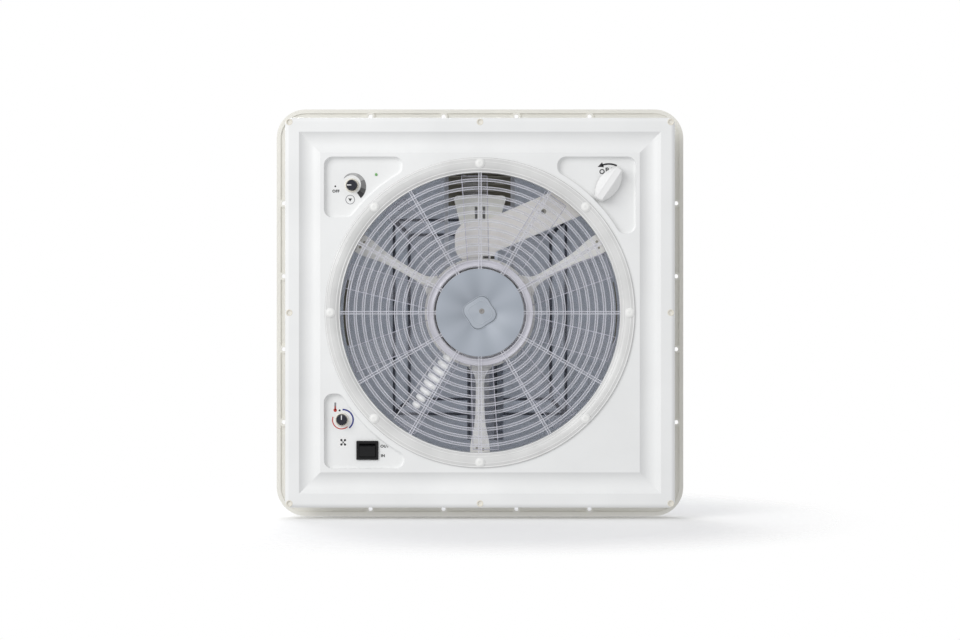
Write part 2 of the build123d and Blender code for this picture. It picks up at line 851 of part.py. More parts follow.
def bevel_gear():
    """Mitre gear on +Z with its apex at the origin, small end up, teeth from +X."""
    circle = 2 * pi * bevel_radius / bevel_teeth
    half = tooth_share * circle / 2
    stretch = sqrt(2)
    face = gear_outline(bevel_teeth, bevel_radius * (1 - bevel_ded_share), bevel_radius,
                        bevel_radius * (1 + bevel_add_share), half, flank_share / stretch)
    small = scale(face, by=bevel_small_share)
    low = -bevel_radius
    gear = loft([Pos(0, 0, low) * face, Pos(0, 0, low * bevel_small_share) * small], ruled=True)
    return gear + rod(bevel_hub, low - bevel_hub_height, low)


def along_drive(piece, from_end):
    """Places a piece made along +X from the crank, or from the worm, on the drive line."""
    x, y = (crank_x, crank_y) if from_end == "crank" else (worm_x, worm_y)
    turn = drive_turn if from_end == "crank" else drive_turn + 180
    return Pos(x, y, shaft_level) * (Rot(0, 0, turn) * piece)


def crank_bevel():
    gear = Rot(0, 0, drive_turn) * bevel_gear()
    gear = Pos(crank_x, crank_y, shaft_level) * gear
    return gear - rod(spindle_radius, deck_top, shaft_level, crank_x, crank_y)


def shaft_bevels():
    """A mitre gear at each end of the drive shaft, its apex on the mating axis."""
    half_tooth = 180 / bevel_teeth
    lying = Rot(0, -90, 0) * (Rot(0, 0, half_tooth) * bevel_gear())
    bore = Rot(0, 90, 0) * extrude(Circle(drive_shaft_radius), amount=2 * bevel_radius)
    gear = lying - bore
    return Compound(children=[along_drive(gear, "crank"), along_drive(gear, "worm")])


def drive_shaft():
    start = bevel_radius * bevel_small_share
    shaft = Pos(start, 0, 0) * (Rot(0, 90, 0) * extrude(
        Circle(drive_shaft_radius), amount=drive_length - 2 * start))
    return along_drive(shaft, "crank")


def crank_spindle():
    low = pocket_level - crank_lift - spindle_socket
    spindle = rod(spindle_radius, low, shaft_level - bevel_radius * bevel_small_share,
                  crank_x, crank_y)
    collar_low = pocket_back + seat_gap
    return spindle + rod(spindle_collar, collar_low, collar_low + spindle_collar_height,
                         crank_x, crank_y)


def lens(length, width):
    """Two arcs that meet in points at both ends."""
    half, side = length / 2, width / 2
    return make_face([ThreePointArc((-half, 0), (0, side), (half, 0)),
                      ThreePointArc((half, 0), (0, -side), (-half, 0))])


def crank_handle():
    """Lens-shaped grip that narrows to a flat ridge on its face."""
    low = pocket_level - crank_lift
    foot = lens(crank_length, crank_width)
    waist = lens(crank_length - crank_taper / 2, crank_width - crank_taper)
    ridge_face = lens(crank_length - 2 * crank_taper, crank_facet_width)
    base_high = crank_height / 4
    grip = loft([foot, Pos(0, 0, -base_high) * waist], ruled=True)
    grip += loft([Pos(0, 0, -base_high) * waist, Pos(0, 0, -crank_height) * ridge_face],
                 ruled=True)
    grip = Pos(crank_x, crank_y, low) * (Rot(0, 0, crank_angle) * grip)
    return grip - rod(spindle_radius, low - spindle_socket, low + overrun, crank_x, crank_y)


def worm_bevel():
    gear = Pos(worm_x, worm_y, shaft_level) * (Rot(0, 0, drive_turn) * bevel_gear())
    return gear - rod(worm_shaft, deck_top, shaft_level, worm_x, worm_y)


def worm_outline():
    """Section across the worm: a tooth, two flanks and the root as arcs."""
    pitch = 2 * pi * wheel_radius / wheel_teeth
    root = worm_pitch_radius - wheel_ded
    tip = worm_pitch_radius + wheel_add
    half = worm_tooth_share * pitch / 2
    tip_turn = (half - flank_share * wheel_add) / pitch * 360
    root_turn = (half + flank_share * wheel_ded) / pitch * 360
    middle = polar((root + tip) / 2, (tip_turn + root_turn) / 2)
    mirrored = (middle[0], -middle[1])
    return make_face([
        ThreePointArc(polar(tip, -tip_turn), (tip, 0), polar(tip, tip_turn)),
        ThreePointArc(polar(tip, tip_turn), middle, polar(root, root_turn)),
        ThreePointArc(polar(root, root_turn), (-root, 0), polar(root, -root_turn)),
        ThreePointArc(polar(root, -root_turn), mirrored, polar(tip, -tip_turn))])


def worm():
    """Upright shaft with a left-hand thread that turns the wheel."""
    pitch = 2 * pi * wheel_radius / wheel_teeth
    turns = worm_length / pitch
    low = wheel_level - worm_length / 2
    high = wheel_level + worm_length / 2
    section = worm_outline().faces()[0].outer_wire()
    thread = Solid.extrude_linear_with_rotation(section, (0, 0, 0), (0, 0, worm_length),
                                                -360 * turns)
    first_turn = 180 * turns + 90
    thread = Pos(worm_x, worm_y, low) * (Rot(0, 0, first_turn) * thread)
    top = high + turret_gap + turret_wall
    return thread + rod(worm_shaft, housing_floor, top, worm_x, worm_y)


def worm_wheel():
    pitch = 2 * pi * wheel_radius / wheel_teeth
    face = gear_outline(wheel_teeth, wheel_radius - wheel_ded, wheel_radius,
                        wheel_radius + wheel_add, worm_tooth_share * pitch / 2, flank_share)
    gear = extrude(face - Circle(arm_shaft_radius), amount=wheel_width)
    return Pos(wheel_x - wheel_width / 2, wheel_y, wheel_level) * across(gear)


def arm_shaft():
    return rod_x(arm_shaft_radius, -cheek_left - cheek_wall / 2,
                 cheek_right + cheek_wall / 2, wheel_y, wheel_level)


def lift_arm():
    """Tapered I-section arm with a pin across its tip, shown with the dome shut."""
    root, tip = lift_root_height / 2, lift_tip_height / 2
    outer = Circle(root) + Pos(lift_length, 0) * Circle(tip)
    outer += make_face(Polyline((0, -root), (lift_length, -tip), (lift_length, tip),
                                (0, root), close=True))
    arm = Pos(0, 0, -lift_width / 2) * extrude(outer, amount=lift_width)
    start = root + lift_flange
    end = lift_length - tip - lift_flange
    slope = (root - tip) / lift_length
    low_half = root - slope * start - lift_flange
    high_half = root - slope * end - lift_flange
    hollow = make_face(Polyline((start, -low_half), (end, -high_half), (end, high_half),
                                (start, low_half), close=True))
    depth = (lift_width - lift_web) / 2
    for level in (-lift_width / 2 - overrun, lift_web / 2):
        arm -= Pos(0, 0, level) * extrude(hollow, amount=depth + overrun)
    arm -= Pos(0, 0, -lift_width) * extrude(Circle(arm_shaft_radius), amount=2 * lift_width)
    pin = Pos(lift_length, 0, -rail_pin_length / 2) * extrude(Circle(rail_pin),
                                                              amount=rail_pin_length)
    arm = arm + pin
    return Pos(lift_x, wheel_y, wheel_level) * across(Rot(0, 0, lift_start) * arm)


def drive_plan(inset):
    """Plan of the housing: a long channel from the crank and a round head at the worm."""
    width = housing_width - 2 * inset
    middle_x, middle_y = (crank_x + worm_x) / 2, (crank_y + worm_y) / 2
    channel = Rot(0, 0, drive_turn) * SlotCenterToCenter(drive_length, width)
    head = RectangleRounded(head_left + head_right - 2 * inset,
                            head_high - head_low - 2 * inset, head_corner - inset)
    head_x, head_y = (head_right - head_left) / 2, (head_low + head_high) / 2
    return Pos(middle_x, middle_y) * channel + Pos(head_x, head_y) * head


def bracket_plan(inset):
    far, near = -bracket_far + inset, -bracket_near
    points = ((-bracket_far_half + inset, far), (bracket_far_half - inset, far),
              (bracket_near_right - inset, near), (-bracket_near_left + inset, near))
    plan = make_face(Polyline(*points, close=True))
    corners = [v for v in plan.vertices() if v.Y < near - overrun]
    return fillet(corners, bracket_corner)


def drive_housing():
    """White tray for the drive shaft and worm, with the wheel's bracket and cheeks."""
    tray = slab(drive_plan(0), deck_top, cover_level)
    tray += slab(bracket_plan(0), bracket_level, cover_level)
    tray -= slab(drive_plan(housing_wall), housing_floor, cover_level + overrun)
    ring_room = support_ring + seat_gap
    step_level = support_top + seat_gap
    tray += slab(drive_plan(0) & Circle(ring_room + housing_wall), deck_top,
                 step_level + housing_wall)
    tray -= rod(ring_room, deck_top - overrun, step_level)
    tray -= slab(bracket_plan(housing_wall), bracket_level + housing_wall,
                 cover_level + overrun)
    cheek_high = wheel_level + cheek_top
    for x in (-cheek_left, cheek_right):
        cheek = block(x - cheek_wall / 2, x + cheek_wall / 2, wheel_y - cheek_half,
                      wheel_y + cheek_half, bracket_level, cheek_high)
        tray += cheek
        tray -= rod_x(arm_shaft_radius + running_gap, x - cheek_wall, x + cheek_wall,
                      wheel_y, wheel_level)
    reach = drive_length - bevel_radius
    passage = Rot(0, 90, 0) * extrude(Circle(drive_shaft_radius + gear_room), amount=reach)
    tray -= along_drive(passage, "worm")
    slot = Rectangle(bracket_slot_width, bracket_slot_length)
    slot_y = -(bracket_far + bracket_near) / 2
    for side in (-1, 1):
        tray -= slab(Pos(side * bracket_slot_apart / 2, slot_y) * slot,
                     bracket_level - overrun, bracket_level + housing_wall + overrun)
    tray -= rod(spindle_radius + running_gap, deck_top - overrun, housing_floor + overrun,
                crank_x, crank_y)
    return tray


def drive_cover():
    """Lid of the tray, with a turret that holds the worm's top end."""
    cover = slab(drive_plan(0), cover_level, cover_level + cover_thick)
    top = wheel_level + worm_length / 2 + turret_gap + turret_wall
    inner = turret_radius - turret_wall
    cover += rod(turret_radius, cover_level, top, worm_x, worm_y)
    cover -= rod(inner, cover_level - overrun, top - turret_wall, worm_x, worm_y)
    cover -= rod(worm_shaft + running_gap, cover_level, top + overrun, worm_x, worm_y)
    wheel_room = wheel_radius + wheel_add + gear_room
    half = wheel_width / 2 + gear_room
    cover -= rod_x(wheel_room, wheel_x - half, wheel_x + half, wheel_y, wheel_level)
    arm_left = wheel_x + half - overrun
    cheek_y = wheel_y + cheek_half + gear_room
    cover -= block(-cheek_left - cheek_wall, cheek_right + cheek_wall, -bracket_far,
                   cheek_y, cover_level - overrun, cover_level + cover_thick + overrun)
    lift_room = lift_root_height / 2 + gear_room
    cover -= rod_x(lift_room, arm_left, cheek_right, wheel_y, wheel_level)
    return cover


def knob(x, y):
    """Fluted knob with a flat face, on a shaft that comes through the pocket's floor."""
    low = pocket_level - bezel_gap - knob_height
    high = pocket_level - bezel_gap
    plan = Circle(knob_radius)
    step = 360 / knob_flutes
    for i in range(knob_flutes):
        fx, fy = polar(knob_radius, step * i)
        plan -= Pos(fx, fy) * Circle(knob_flute)
    body = slab(plan, low, high)
    body &= knob_form(low, high)
    body = Pos(x, y, 0) * body
    return body - rod(pot_shaft, low + knob_height / 3, high + overrun, x, y)


def knob_form(low, high):
    """A round form with a rounded face that trims the knob's flutes."""
    form = rod(knob_radius, low, high)
    return fillet(form.faces().sort_by(Axis.Z)[0].edges(), knob_round)


def knob_bezels():
    rings = []
    for x, y in ((speed_x, speed_y), (thermo_x, thermo_y)):
        ring = tube(bezel_radius, knob_radius + bezel_gap, pocket_level - bezel_height,
                    pocket_level, x, y)
        face = ring.faces().sort_by(Axis.Z)[0]
        rings.append(fillet(face.edges(), knob_round))
    return Compound(children=rings)


def knob_shaft(x, y):
    low = pocket_level - bezel_gap - knob_height + knob_height / 3
    return rod(pot_shaft, low, pocket_back + pot_height / 2, x, y)


def control_body(base, x, y, height):
    """A control's case with the threaded bush that goes through the panel."""
    body = base + rod(pot_bush, pocket_level - bezel_gap / 2, pocket_back + overrun, x, y)
    return body - rod(pot_shaft + running_gap, pocket_level - overrun,
                      pocket_back + height / 2, x, y)


def speed_control():
    base = rod(pot_radius, pocket_back, pocket_back + board_lift, speed_x, speed_y)
    return control_body(base, speed_x, speed_y, pot_height + overrun)


def thermostat():
    half_x, half_y = thermo_length / 2, thermo_width / 2
    base = block(thermo_x - half_x, thermo_x + half_x, thermo_y - half_y, thermo_y + half_y,
                 pocket_back, pocket_back + thermo_height)
    base = fillet(base.edges().filter_by(Axis.Z), knob_round)
    return control_body(base, thermo_x, thermo_y, pot_height + overrun)


def status_lamp():
    low = pocket_level - lamp_proud
    lamp = rod(lamp_radius, low, pocket_back + board_lift, lamp_x, lamp_y)
    lamp = fillet(lamp.faces().sort_by(Axis.Z)[0].edges(), lamp_proud / 2)
    return lamp + rod(lamp_flange, pocket_back, pocket_back + lamp_proud, lamp_x, lamp_y)


def control_board():
    low = pocket_back + board_lift
    return block(board_left, board_right, board_low, board_high, low, low + board_thick)


def control_cover():
    gap = seat_gap
    outer = block(board_left - gap - cover_wall, board_right + gap + cover_wall,
                  board_low - gap - cover_wall, board_high + gap + cover_wall,
                  pocket_back, pocket_back + cover_height)
    outer = fillet(outer.edges().filter_by(Axis.Z), cover_wall)
    inner = block(board_left - gap, board_right + gap, board_low - gap, board_high + gap,
                  pocket_back - overrun, pocket_back + cover_height - cover_wall)
    return outer - inner


def rocker_body_size():
    return rocker_frame_length - 2 * rocker_frame_wall, rocker_frame_width - 2 * rocker_frame_wall


def rocker_housing():
    """Bezel on the pocket's floor and a snap-in body behind it."""
    length, width = rocker_body_size()
    half_x, half_y = rocker_frame_length / 2, rocker_frame_width / 2
    x, y = rocker_x, rocker_y
    bezel = block(x - half_x, x + half_x, y - half_y, y + half_y,
                  pocket_level - rocker_frame_proud, pocket_level)
    bezel = fillet(bezel.edges().filter_by(Axis.Z), knob_round)
    body = block(x - length / 2, x + length / 2, y - width / 2, y + width / 2,
                 pocket_level - rocker_frame_proud / 2, pocket_level + rocker_body_height)
    wall = rocker_frame_wall / 2
    room = block(x - length / 2 + wall, x + length / 2 - wall, y - width / 2 + wall,
                 y + width / 2 - wall, pocket_level - rocker_frame_proud - overrun,
                 pocket_level + rocker_deep + rocker_pivot_depth)
    reach = length / 2 - wall + rocker_pivot_reach / 2 + running_gap
    pivot = rod_x(rocker_pivot + running_gap, x - reach, x + reach, y,
                  pocket_level + rocker_pivot_depth)
    return bezel + body - room - pivot


def rocker():
    """Paddle with two faces that meet in a shallow valley, pressed at its OUT end."""
    length, width = rocker_body_size()
    wall = rocker_frame_wall / 2 + rocker_gap
    half_x, half_y = length / 2 - wall, width / 2 - wall
    top = -rocker_frame_proud - rocker_rise
    rise = half_y * tan(radians(rocker_tilt))
    tip = half_y - rocker_lean
    side = Polyline((-tip, top + rise / 2), (0, top + rise), (tip, top + rise / 2),
                    (half_y, rocker_pivot), (rocker_pivot, rocker_deep + rocker_pivot),
                    (-rocker_pivot, rocker_deep + rocker_pivot), (-half_y, rocker_pivot),
                    close=True)
    face = Plane.YZ * make_face(side)
    paddle = Pos(-half_x, 0, 0) * extrude(face, amount=2 * half_x)
    reach = half_x + rocker_gap + rocker_pivot_reach / 2
    paddle += rod_x(rocker_pivot, -reach, reach, 0, rocker_pivot_depth)
    turned = Pos(0, 0, rocker_pivot_depth) * (Rot(rocker_tilt, 0, 0)
                                              * (Pos(0, 0, -rocker_pivot_depth) * paddle))
    return Pos(rocker_x, rocker_y, pocket_level) * turned


def terminal_block():
    """Screw terminals for the supply: the only electrical inlet."""
    half_x, half_y = terminal_length / 2, terminal_width / 2
    high = panel_back + terminal_height
    body = block(terminal_x - half_x, terminal_x + half_x, terminal_y - half_y,
                 terminal_y + half_y, panel_back, high)
    body = chamfer(body.edges().filter_by(Axis.X).group_by(Axis.Z)[-1], terminal_screw)
    pitch = terminal_length / terminal_poles
    level = (panel_back + high) / 2
    cutters = []
    for i in range(terminal_poles):
        x = terminal_x - half_x + pitch * (i + 0.5)
        bore = Rot(90, 0, 0) * extrude(Circle(terminal_bore), amount=terminal_width + 2 * overrun)
        cutters.append(Pos(x, terminal_y + half_y + overrun, level) * bore)
        cutters.append(rod(terminal_screw, level, high + overrun, x, terminal_y))
    return body.cut(*cutters)


pieces = {
    "roof_frame": roof_frame,
    "dome": dome,
    "dome_seal": dome_seal,
    "dome_rail": dome_rail,
    "hinge_pins": hinge_pins,
    "flyscreen_frame": flyscreen_frame,
    "flyscreen_mesh": flyscreen_mesh,
    "ceiling_frame": ceiling_frame,
    "grille": grille,
    "grille_screws": grille_screws,
    "fan_rotor": fan_rotor,
    "fan_nut": fan_nut,
    "motor_shaft": motor_shaft,
    "motor_can": motor_can,
    "motor_bearings": motor_bearings,
    "motor_armature": motor_armature,
    "motor_support": motor_support,
    "support_screws": support_screws,
    "crank_handle": crank_handle,
    "crank_spindle": crank_spindle,
    "crank_bevel": crank_bevel,
    "drive_shaft": drive_shaft,
    "shaft_bevels": shaft_bevels,
    "worm": worm,
    "worm_bevel": worm_bevel,
    "worm_wheel": worm_wheel,
    "arm_shaft": arm_shaft,
    "lift_arm": lift_arm,
    "drive_housing": drive_housing,
    "drive_cover": drive_cover,
    "speed_knob": lambda: knob(speed_x, speed_y),
    "speed_shaft": lambda: knob_shaft(speed_x, speed_y),
    "speed_control": speed_control,
    "thermostat_knob": lambda: knob(thermo_x, thermo_y),
    "thermostat_shaft": lambda: knob_shaft(thermo_x, thermo_y),
    "thermostat": thermostat,
    "knob_bezels": knob_bezels,
    "status_lamp": status_lamp,
    "control_board": control_board,
    "control_cover": control_cover,
    "rocker_housing": rocker_housing,
    "rocker": rocker,
    "terminal_block": terminal_block,
}

os.makedirs("parts", exist_ok=True)
for name, make in pieces.items():
    export_step(make(), f"parts/{name}.step")
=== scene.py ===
import math
import bpy
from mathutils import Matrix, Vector


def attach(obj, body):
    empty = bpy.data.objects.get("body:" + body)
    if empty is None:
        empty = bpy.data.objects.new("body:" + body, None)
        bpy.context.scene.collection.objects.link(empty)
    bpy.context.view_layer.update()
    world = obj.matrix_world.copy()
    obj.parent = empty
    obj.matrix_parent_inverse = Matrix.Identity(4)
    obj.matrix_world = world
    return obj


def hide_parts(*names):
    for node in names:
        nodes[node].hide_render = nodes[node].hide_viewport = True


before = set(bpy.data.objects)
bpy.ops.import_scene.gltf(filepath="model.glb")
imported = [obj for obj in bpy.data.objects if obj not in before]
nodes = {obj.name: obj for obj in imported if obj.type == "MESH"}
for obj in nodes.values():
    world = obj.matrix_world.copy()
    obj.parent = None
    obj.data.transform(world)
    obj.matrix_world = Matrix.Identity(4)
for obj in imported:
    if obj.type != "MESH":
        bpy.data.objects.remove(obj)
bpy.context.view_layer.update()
print("frame loaded,", len(nodes), "nodes")

# Camera: below the roof, looking straight up, with the hinge side at the top
viewCamera = {"trimFace": -0.045, "distance": 2.6, "scale": 0.0011268,
              "centre": (480, 312.7), "frame": (960, 640), "sensor": 36.0,
              "clipEnd": 50}


def newObject(name, data):
    piece = bpy.data.objects.new(name, data)
    bpy.context.scene.collection.objects.link(piece)
    return piece


def addCamera(s):
    data = bpy.data.cameras.new("viewCamera")
    wide, tall = s["frame"]
    focal = s["distance"] / s["scale"]
    data.sensor_width = s["sensor"]
    data.lens = s["sensor"] * focal / wide
    data.shift_y = (s["centre"][1] - tall / 2) / wide
    data.clip_end = s["clipEnd"]
    camera = newObject("viewCamera", data)
    camera.location = (0, 0, s["trimFace"] - s["distance"])
    camera.rotation_euler = (math.pi, 0, 0)
    bpy.context.scene.camera = camera


def spot(px, py, level):
    # where a point of the view lies on the plane at this level, in metres
    away = level - viewCamera["trimFace"] + viewCamera["distance"]
    scale = viewCamera["scale"] * away / viewCamera["distance"]
    return Vector(((px - viewCamera["centre"][0]) * scale,
                   (py - viewCamera["centre"][1]) * scale, level))


addCamera(viewCamera)
print("camera done")


# Finishes
def newMaterial(name):
    material = bpy.data.materials.new(name)
    material.use_nodes = True
    tree = material.node_tree
    shader = tree.nodes["Principled BSDF"]
    return material, tree, shader


def objectCoords(tree):
    return tree.nodes.new("ShaderNodeTexCoord").outputs["Object"]


def noiseOf(tree, scale, detail=3.0, rough=0.55):
    noise = tree.nodes.new("ShaderNodeTexNoise")
    noise.inputs["Scale"].default_value = scale
    noise.inputs["Detail"].default_value = detail
    noise.inputs["Roughness"].default_value = rough
    tree.links.new(objectCoords(tree), noise.inputs["Vector"])
    return noise.outputs["Fac"]


def rampOf(tree, source, stops):
    ramp = tree.nodes.new("ShaderNodeValToRGB")
    band = ramp.color_ramp
    while len(band.elements) < len(stops):
        band.elements.new(0.5)
    for element, (place, colour) in zip(band.elements, stops):
        element.position = place
        element.color = (*colour, 1.0)
    tree.links.new(source, ramp.inputs["Fac"])
    return ramp.outputs["Color"]


def bumpOf(tree, height, strength, distance):
    bump = tree.nodes.new("ShaderNodeBump")
    bump.inputs["Strength"].default_value = strength
    bump.inputs["Distance"].default_value = distance
    tree.links.new(height, bump.inputs["Height"])
    return bump.outputs["Normal"]


def feed(tree, node, *values):
    # numbers are set and outputs are linked, in the order of the node's inputs
    for socket, value in zip(node.inputs, values):
        if isinstance(value, float):
            socket.default_value = value
        else:
            tree.links.new(value, socket)


def mathOf(tree, kind, *values):
    node = tree.nodes.new("ShaderNodeMath")
    node.operation = kind
    feed(tree, node, *values)
    return node.outputs["Value"]


def rangeOf(tree, source, ends, side="To"):
    spread = tree.nodes.new("ShaderNodeMapRange")
    for end, value in zip((" Min", " Max"), ends):
        spread.inputs[side + end].default_value = value
    tree.links.new(source, spread.inputs["Value"])
    return spread.outputs["Result"]


def mixSurface(tree, share, first, second, out):
    mix = tree.nodes.new("ShaderNodeMixShader")
    feed(tree, mix, share, first, second)
    tree.links.new(mix.outputs["Shader"], out.inputs["Surface"])


def shade(colour, share):
    return tuple(max(0.0, min(1.0, c * share)) for c in colour)


def mouldedPlastic(name, colour, rough=0.42, grain=1400, cloud=0.035, depth=0.00002, shine=0.5):
    material, tree, shader = newMaterial(name)
    shader.inputs["Specular IOR Level"].default_value = shine
    clouds = noiseOf(tree, 9, 4)
    tone = rampOf(tree, clouds, [(0.3, shade(colour, 1 - cloud)), (0.7, shade(colour, 1 + cloud))])
    tree.links.new(tone, shader.inputs["Base Color"])
    spread = rangeOf(tree, noiseOf(tree, 60, 3), (rough - 0.06, rough + 0.06))
    tree.links.new(spread, shader.inputs["Roughness"])
    tree.links.new(bumpOf(tree, noiseOf(tree, grain, 2), 0.25, depth), shader.inputs["Normal"])
    return material


def clearPlastic(name, colour, alpha, rough=0.12, cloud=0.06):
    material, tree, shader = newMaterial(name)
    tone = rampOf(tree, noiseOf(tree, 25, 3),
                  [(0.3, shade(colour, 1 - cloud)), (0.7, shade(colour, 1 + cloud))])
    tree.links.new(tone, shader.inputs["Base Color"])
    shader.inputs["Alpha"].default_value = alpha
    shader.inputs["Roughness"].default_value = rough
    shader.inputs["IOR"].default_value = 1.5
    tree.links.new(bumpOf(tree, noiseOf(tree, 90, 2), 0.08, 0.0002), shader.inputs["Normal"])
    return material


def lampShine(name, colour, alpha, strength):
    # painted lamp reflection: clear plastic that glows a little where a lamp would shine
    material = clearPlastic(name, colour, alpha, rough=0.3)
    shader = material.node_tree.nodes["Principled BSDF"]
    shader.inputs["Emission Color"].default_value = (*colour, 1)
    shader.inputs["Emission Strength"].default_value = strength
    return material


def brushedMetal(name, colour, rough=0.32):
    material, tree, shader = newMaterial(name)
    stretch = tree.nodes.new("ShaderNodeMapping")
    stretch.inputs["Scale"].default_value = (1, 1, 0.05)
    tree.links.new(objectCoords(tree), stretch.inputs["Vector"])
    lines = tree.nodes.new("ShaderNodeTexNoise")
    lines.inputs["Scale"].default_value = 1800
    lines.inputs["Detail"].default_value = 2
    tree.links.new(stretch.outputs["Vector"], lines.inputs["Vector"])
    tone = rampOf(tree, lines.outputs["Fac"], [(0.3, shade(colour, 0.85)), (0.7, colour)])
    tree.links.new(tone, shader.inputs["Base Color"])
    shader.inputs["Metallic"].default_value = 1.0
    shader.inputs["Roughness"].default_value = rough
    tree.links.new(bumpOf(tree, lines.outputs["Fac"], 0.2, 0.00003), shader.inputs["Normal"])
    return material


def lightShell(name, colour, share, rough=0.35):
    # thin smoky plastic that lets daylight through
    material = mouldedPlastic(name, colour, rough)
    tree = material.node_tree
    shader = tree.nodes["Principled BSDF"]
    glow = tree.nodes.new("ShaderNodeBsdfTranslucent")
    glow.inputs["Color"].default_value = (*colour, 1)
    mixSurface(tree, share, shader.outputs["BSDF"], glow.outputs["BSDF"],
               tree.nodes["Material Output"])
    return material


def printedInk(name, colour, rough=0.5):
    material, tree, shader = newMaterial(name)
    tone = rampOf(tree, noiseOf(tree, 900, 2),
                  [(0.25, shade(colour, 0.9)), (0.75, shade(colour, 1.08))])
    tree.links.new(tone, shader.inputs["Base Color"])
    shader.inputs["Roughness"].default_value = rough
    return material


def weaveOf(tree, pitch):
    # crossing threads as two waves, light on the threads
    waves = []
    for direction in ("X", "Y"):
        wave = tree.nodes.new("ShaderNodeTexWave")
        wave.wave_type = "BANDS"
        wave.bands_direction = direction
        wave.inputs["Scale"].default_value = 0.314 / pitch
        wave.inputs["Distortion"].default_value = 0.3
        tree.links.new(objectCoords(tree), wave.inputs["Vector"])
        waves.append(wave.outputs["Fac"])
    return mathOf(tree, "MAXIMUM", *waves)


def insectMesh(name, thread, gap, alpha, pitch):
    material, tree, shader = newMaterial(name)
    threads = weaveOf(tree, pitch)
    tone = rampOf(tree, threads, [(0.35, gap), (0.85, thread)])
    tree.links.new(tone, shader.inputs["Base Color"])
    cover = rangeOf(tree, threads, (alpha - 0.14, min(1.0, alpha + 0.2)))
    tree.links.new(cover, shader.inputs["Alpha"])
    shader.inputs["Roughness"].default_value = 0.75
    tree.links.new(bumpOf(tree, threads, 0.3, 0.0002), shader.inputs["Normal"])
    return material


def frostedDisc(name, low, high, petals):
    # soft rays of the fan's ribs behind the milky middle
    material, tree, shader = newMaterial(name)
    turn = tree.nodes.new("ShaderNodeTexGradient")
    turn.gradient_type = "RADIAL"
    tree.links.new(objectCoords(tree), turn.inputs["Vector"])
    many = mathOf(tree, "MULTIPLY", turn.outputs["Fac"], 2 * math.pi * petals)
    wave = mathOf(tree, "SINE", many)
    rays = mathOf(tree, "MULTIPLY", rangeOf(tree, wave, (-1.0, 1.0), "From"), 0.7)
    cloud = mathOf(tree, "MULTIPLY_ADD", noiseOf(tree, 28, 1), 0.3, rays)
    tone = rampOf(tree, cloud, [(0.15, low), (0.85, high)])
    tree.links.new(tone, shader.inputs["Base Color"])
    shader.inputs["Roughness"].default_value = 0.45
    return material


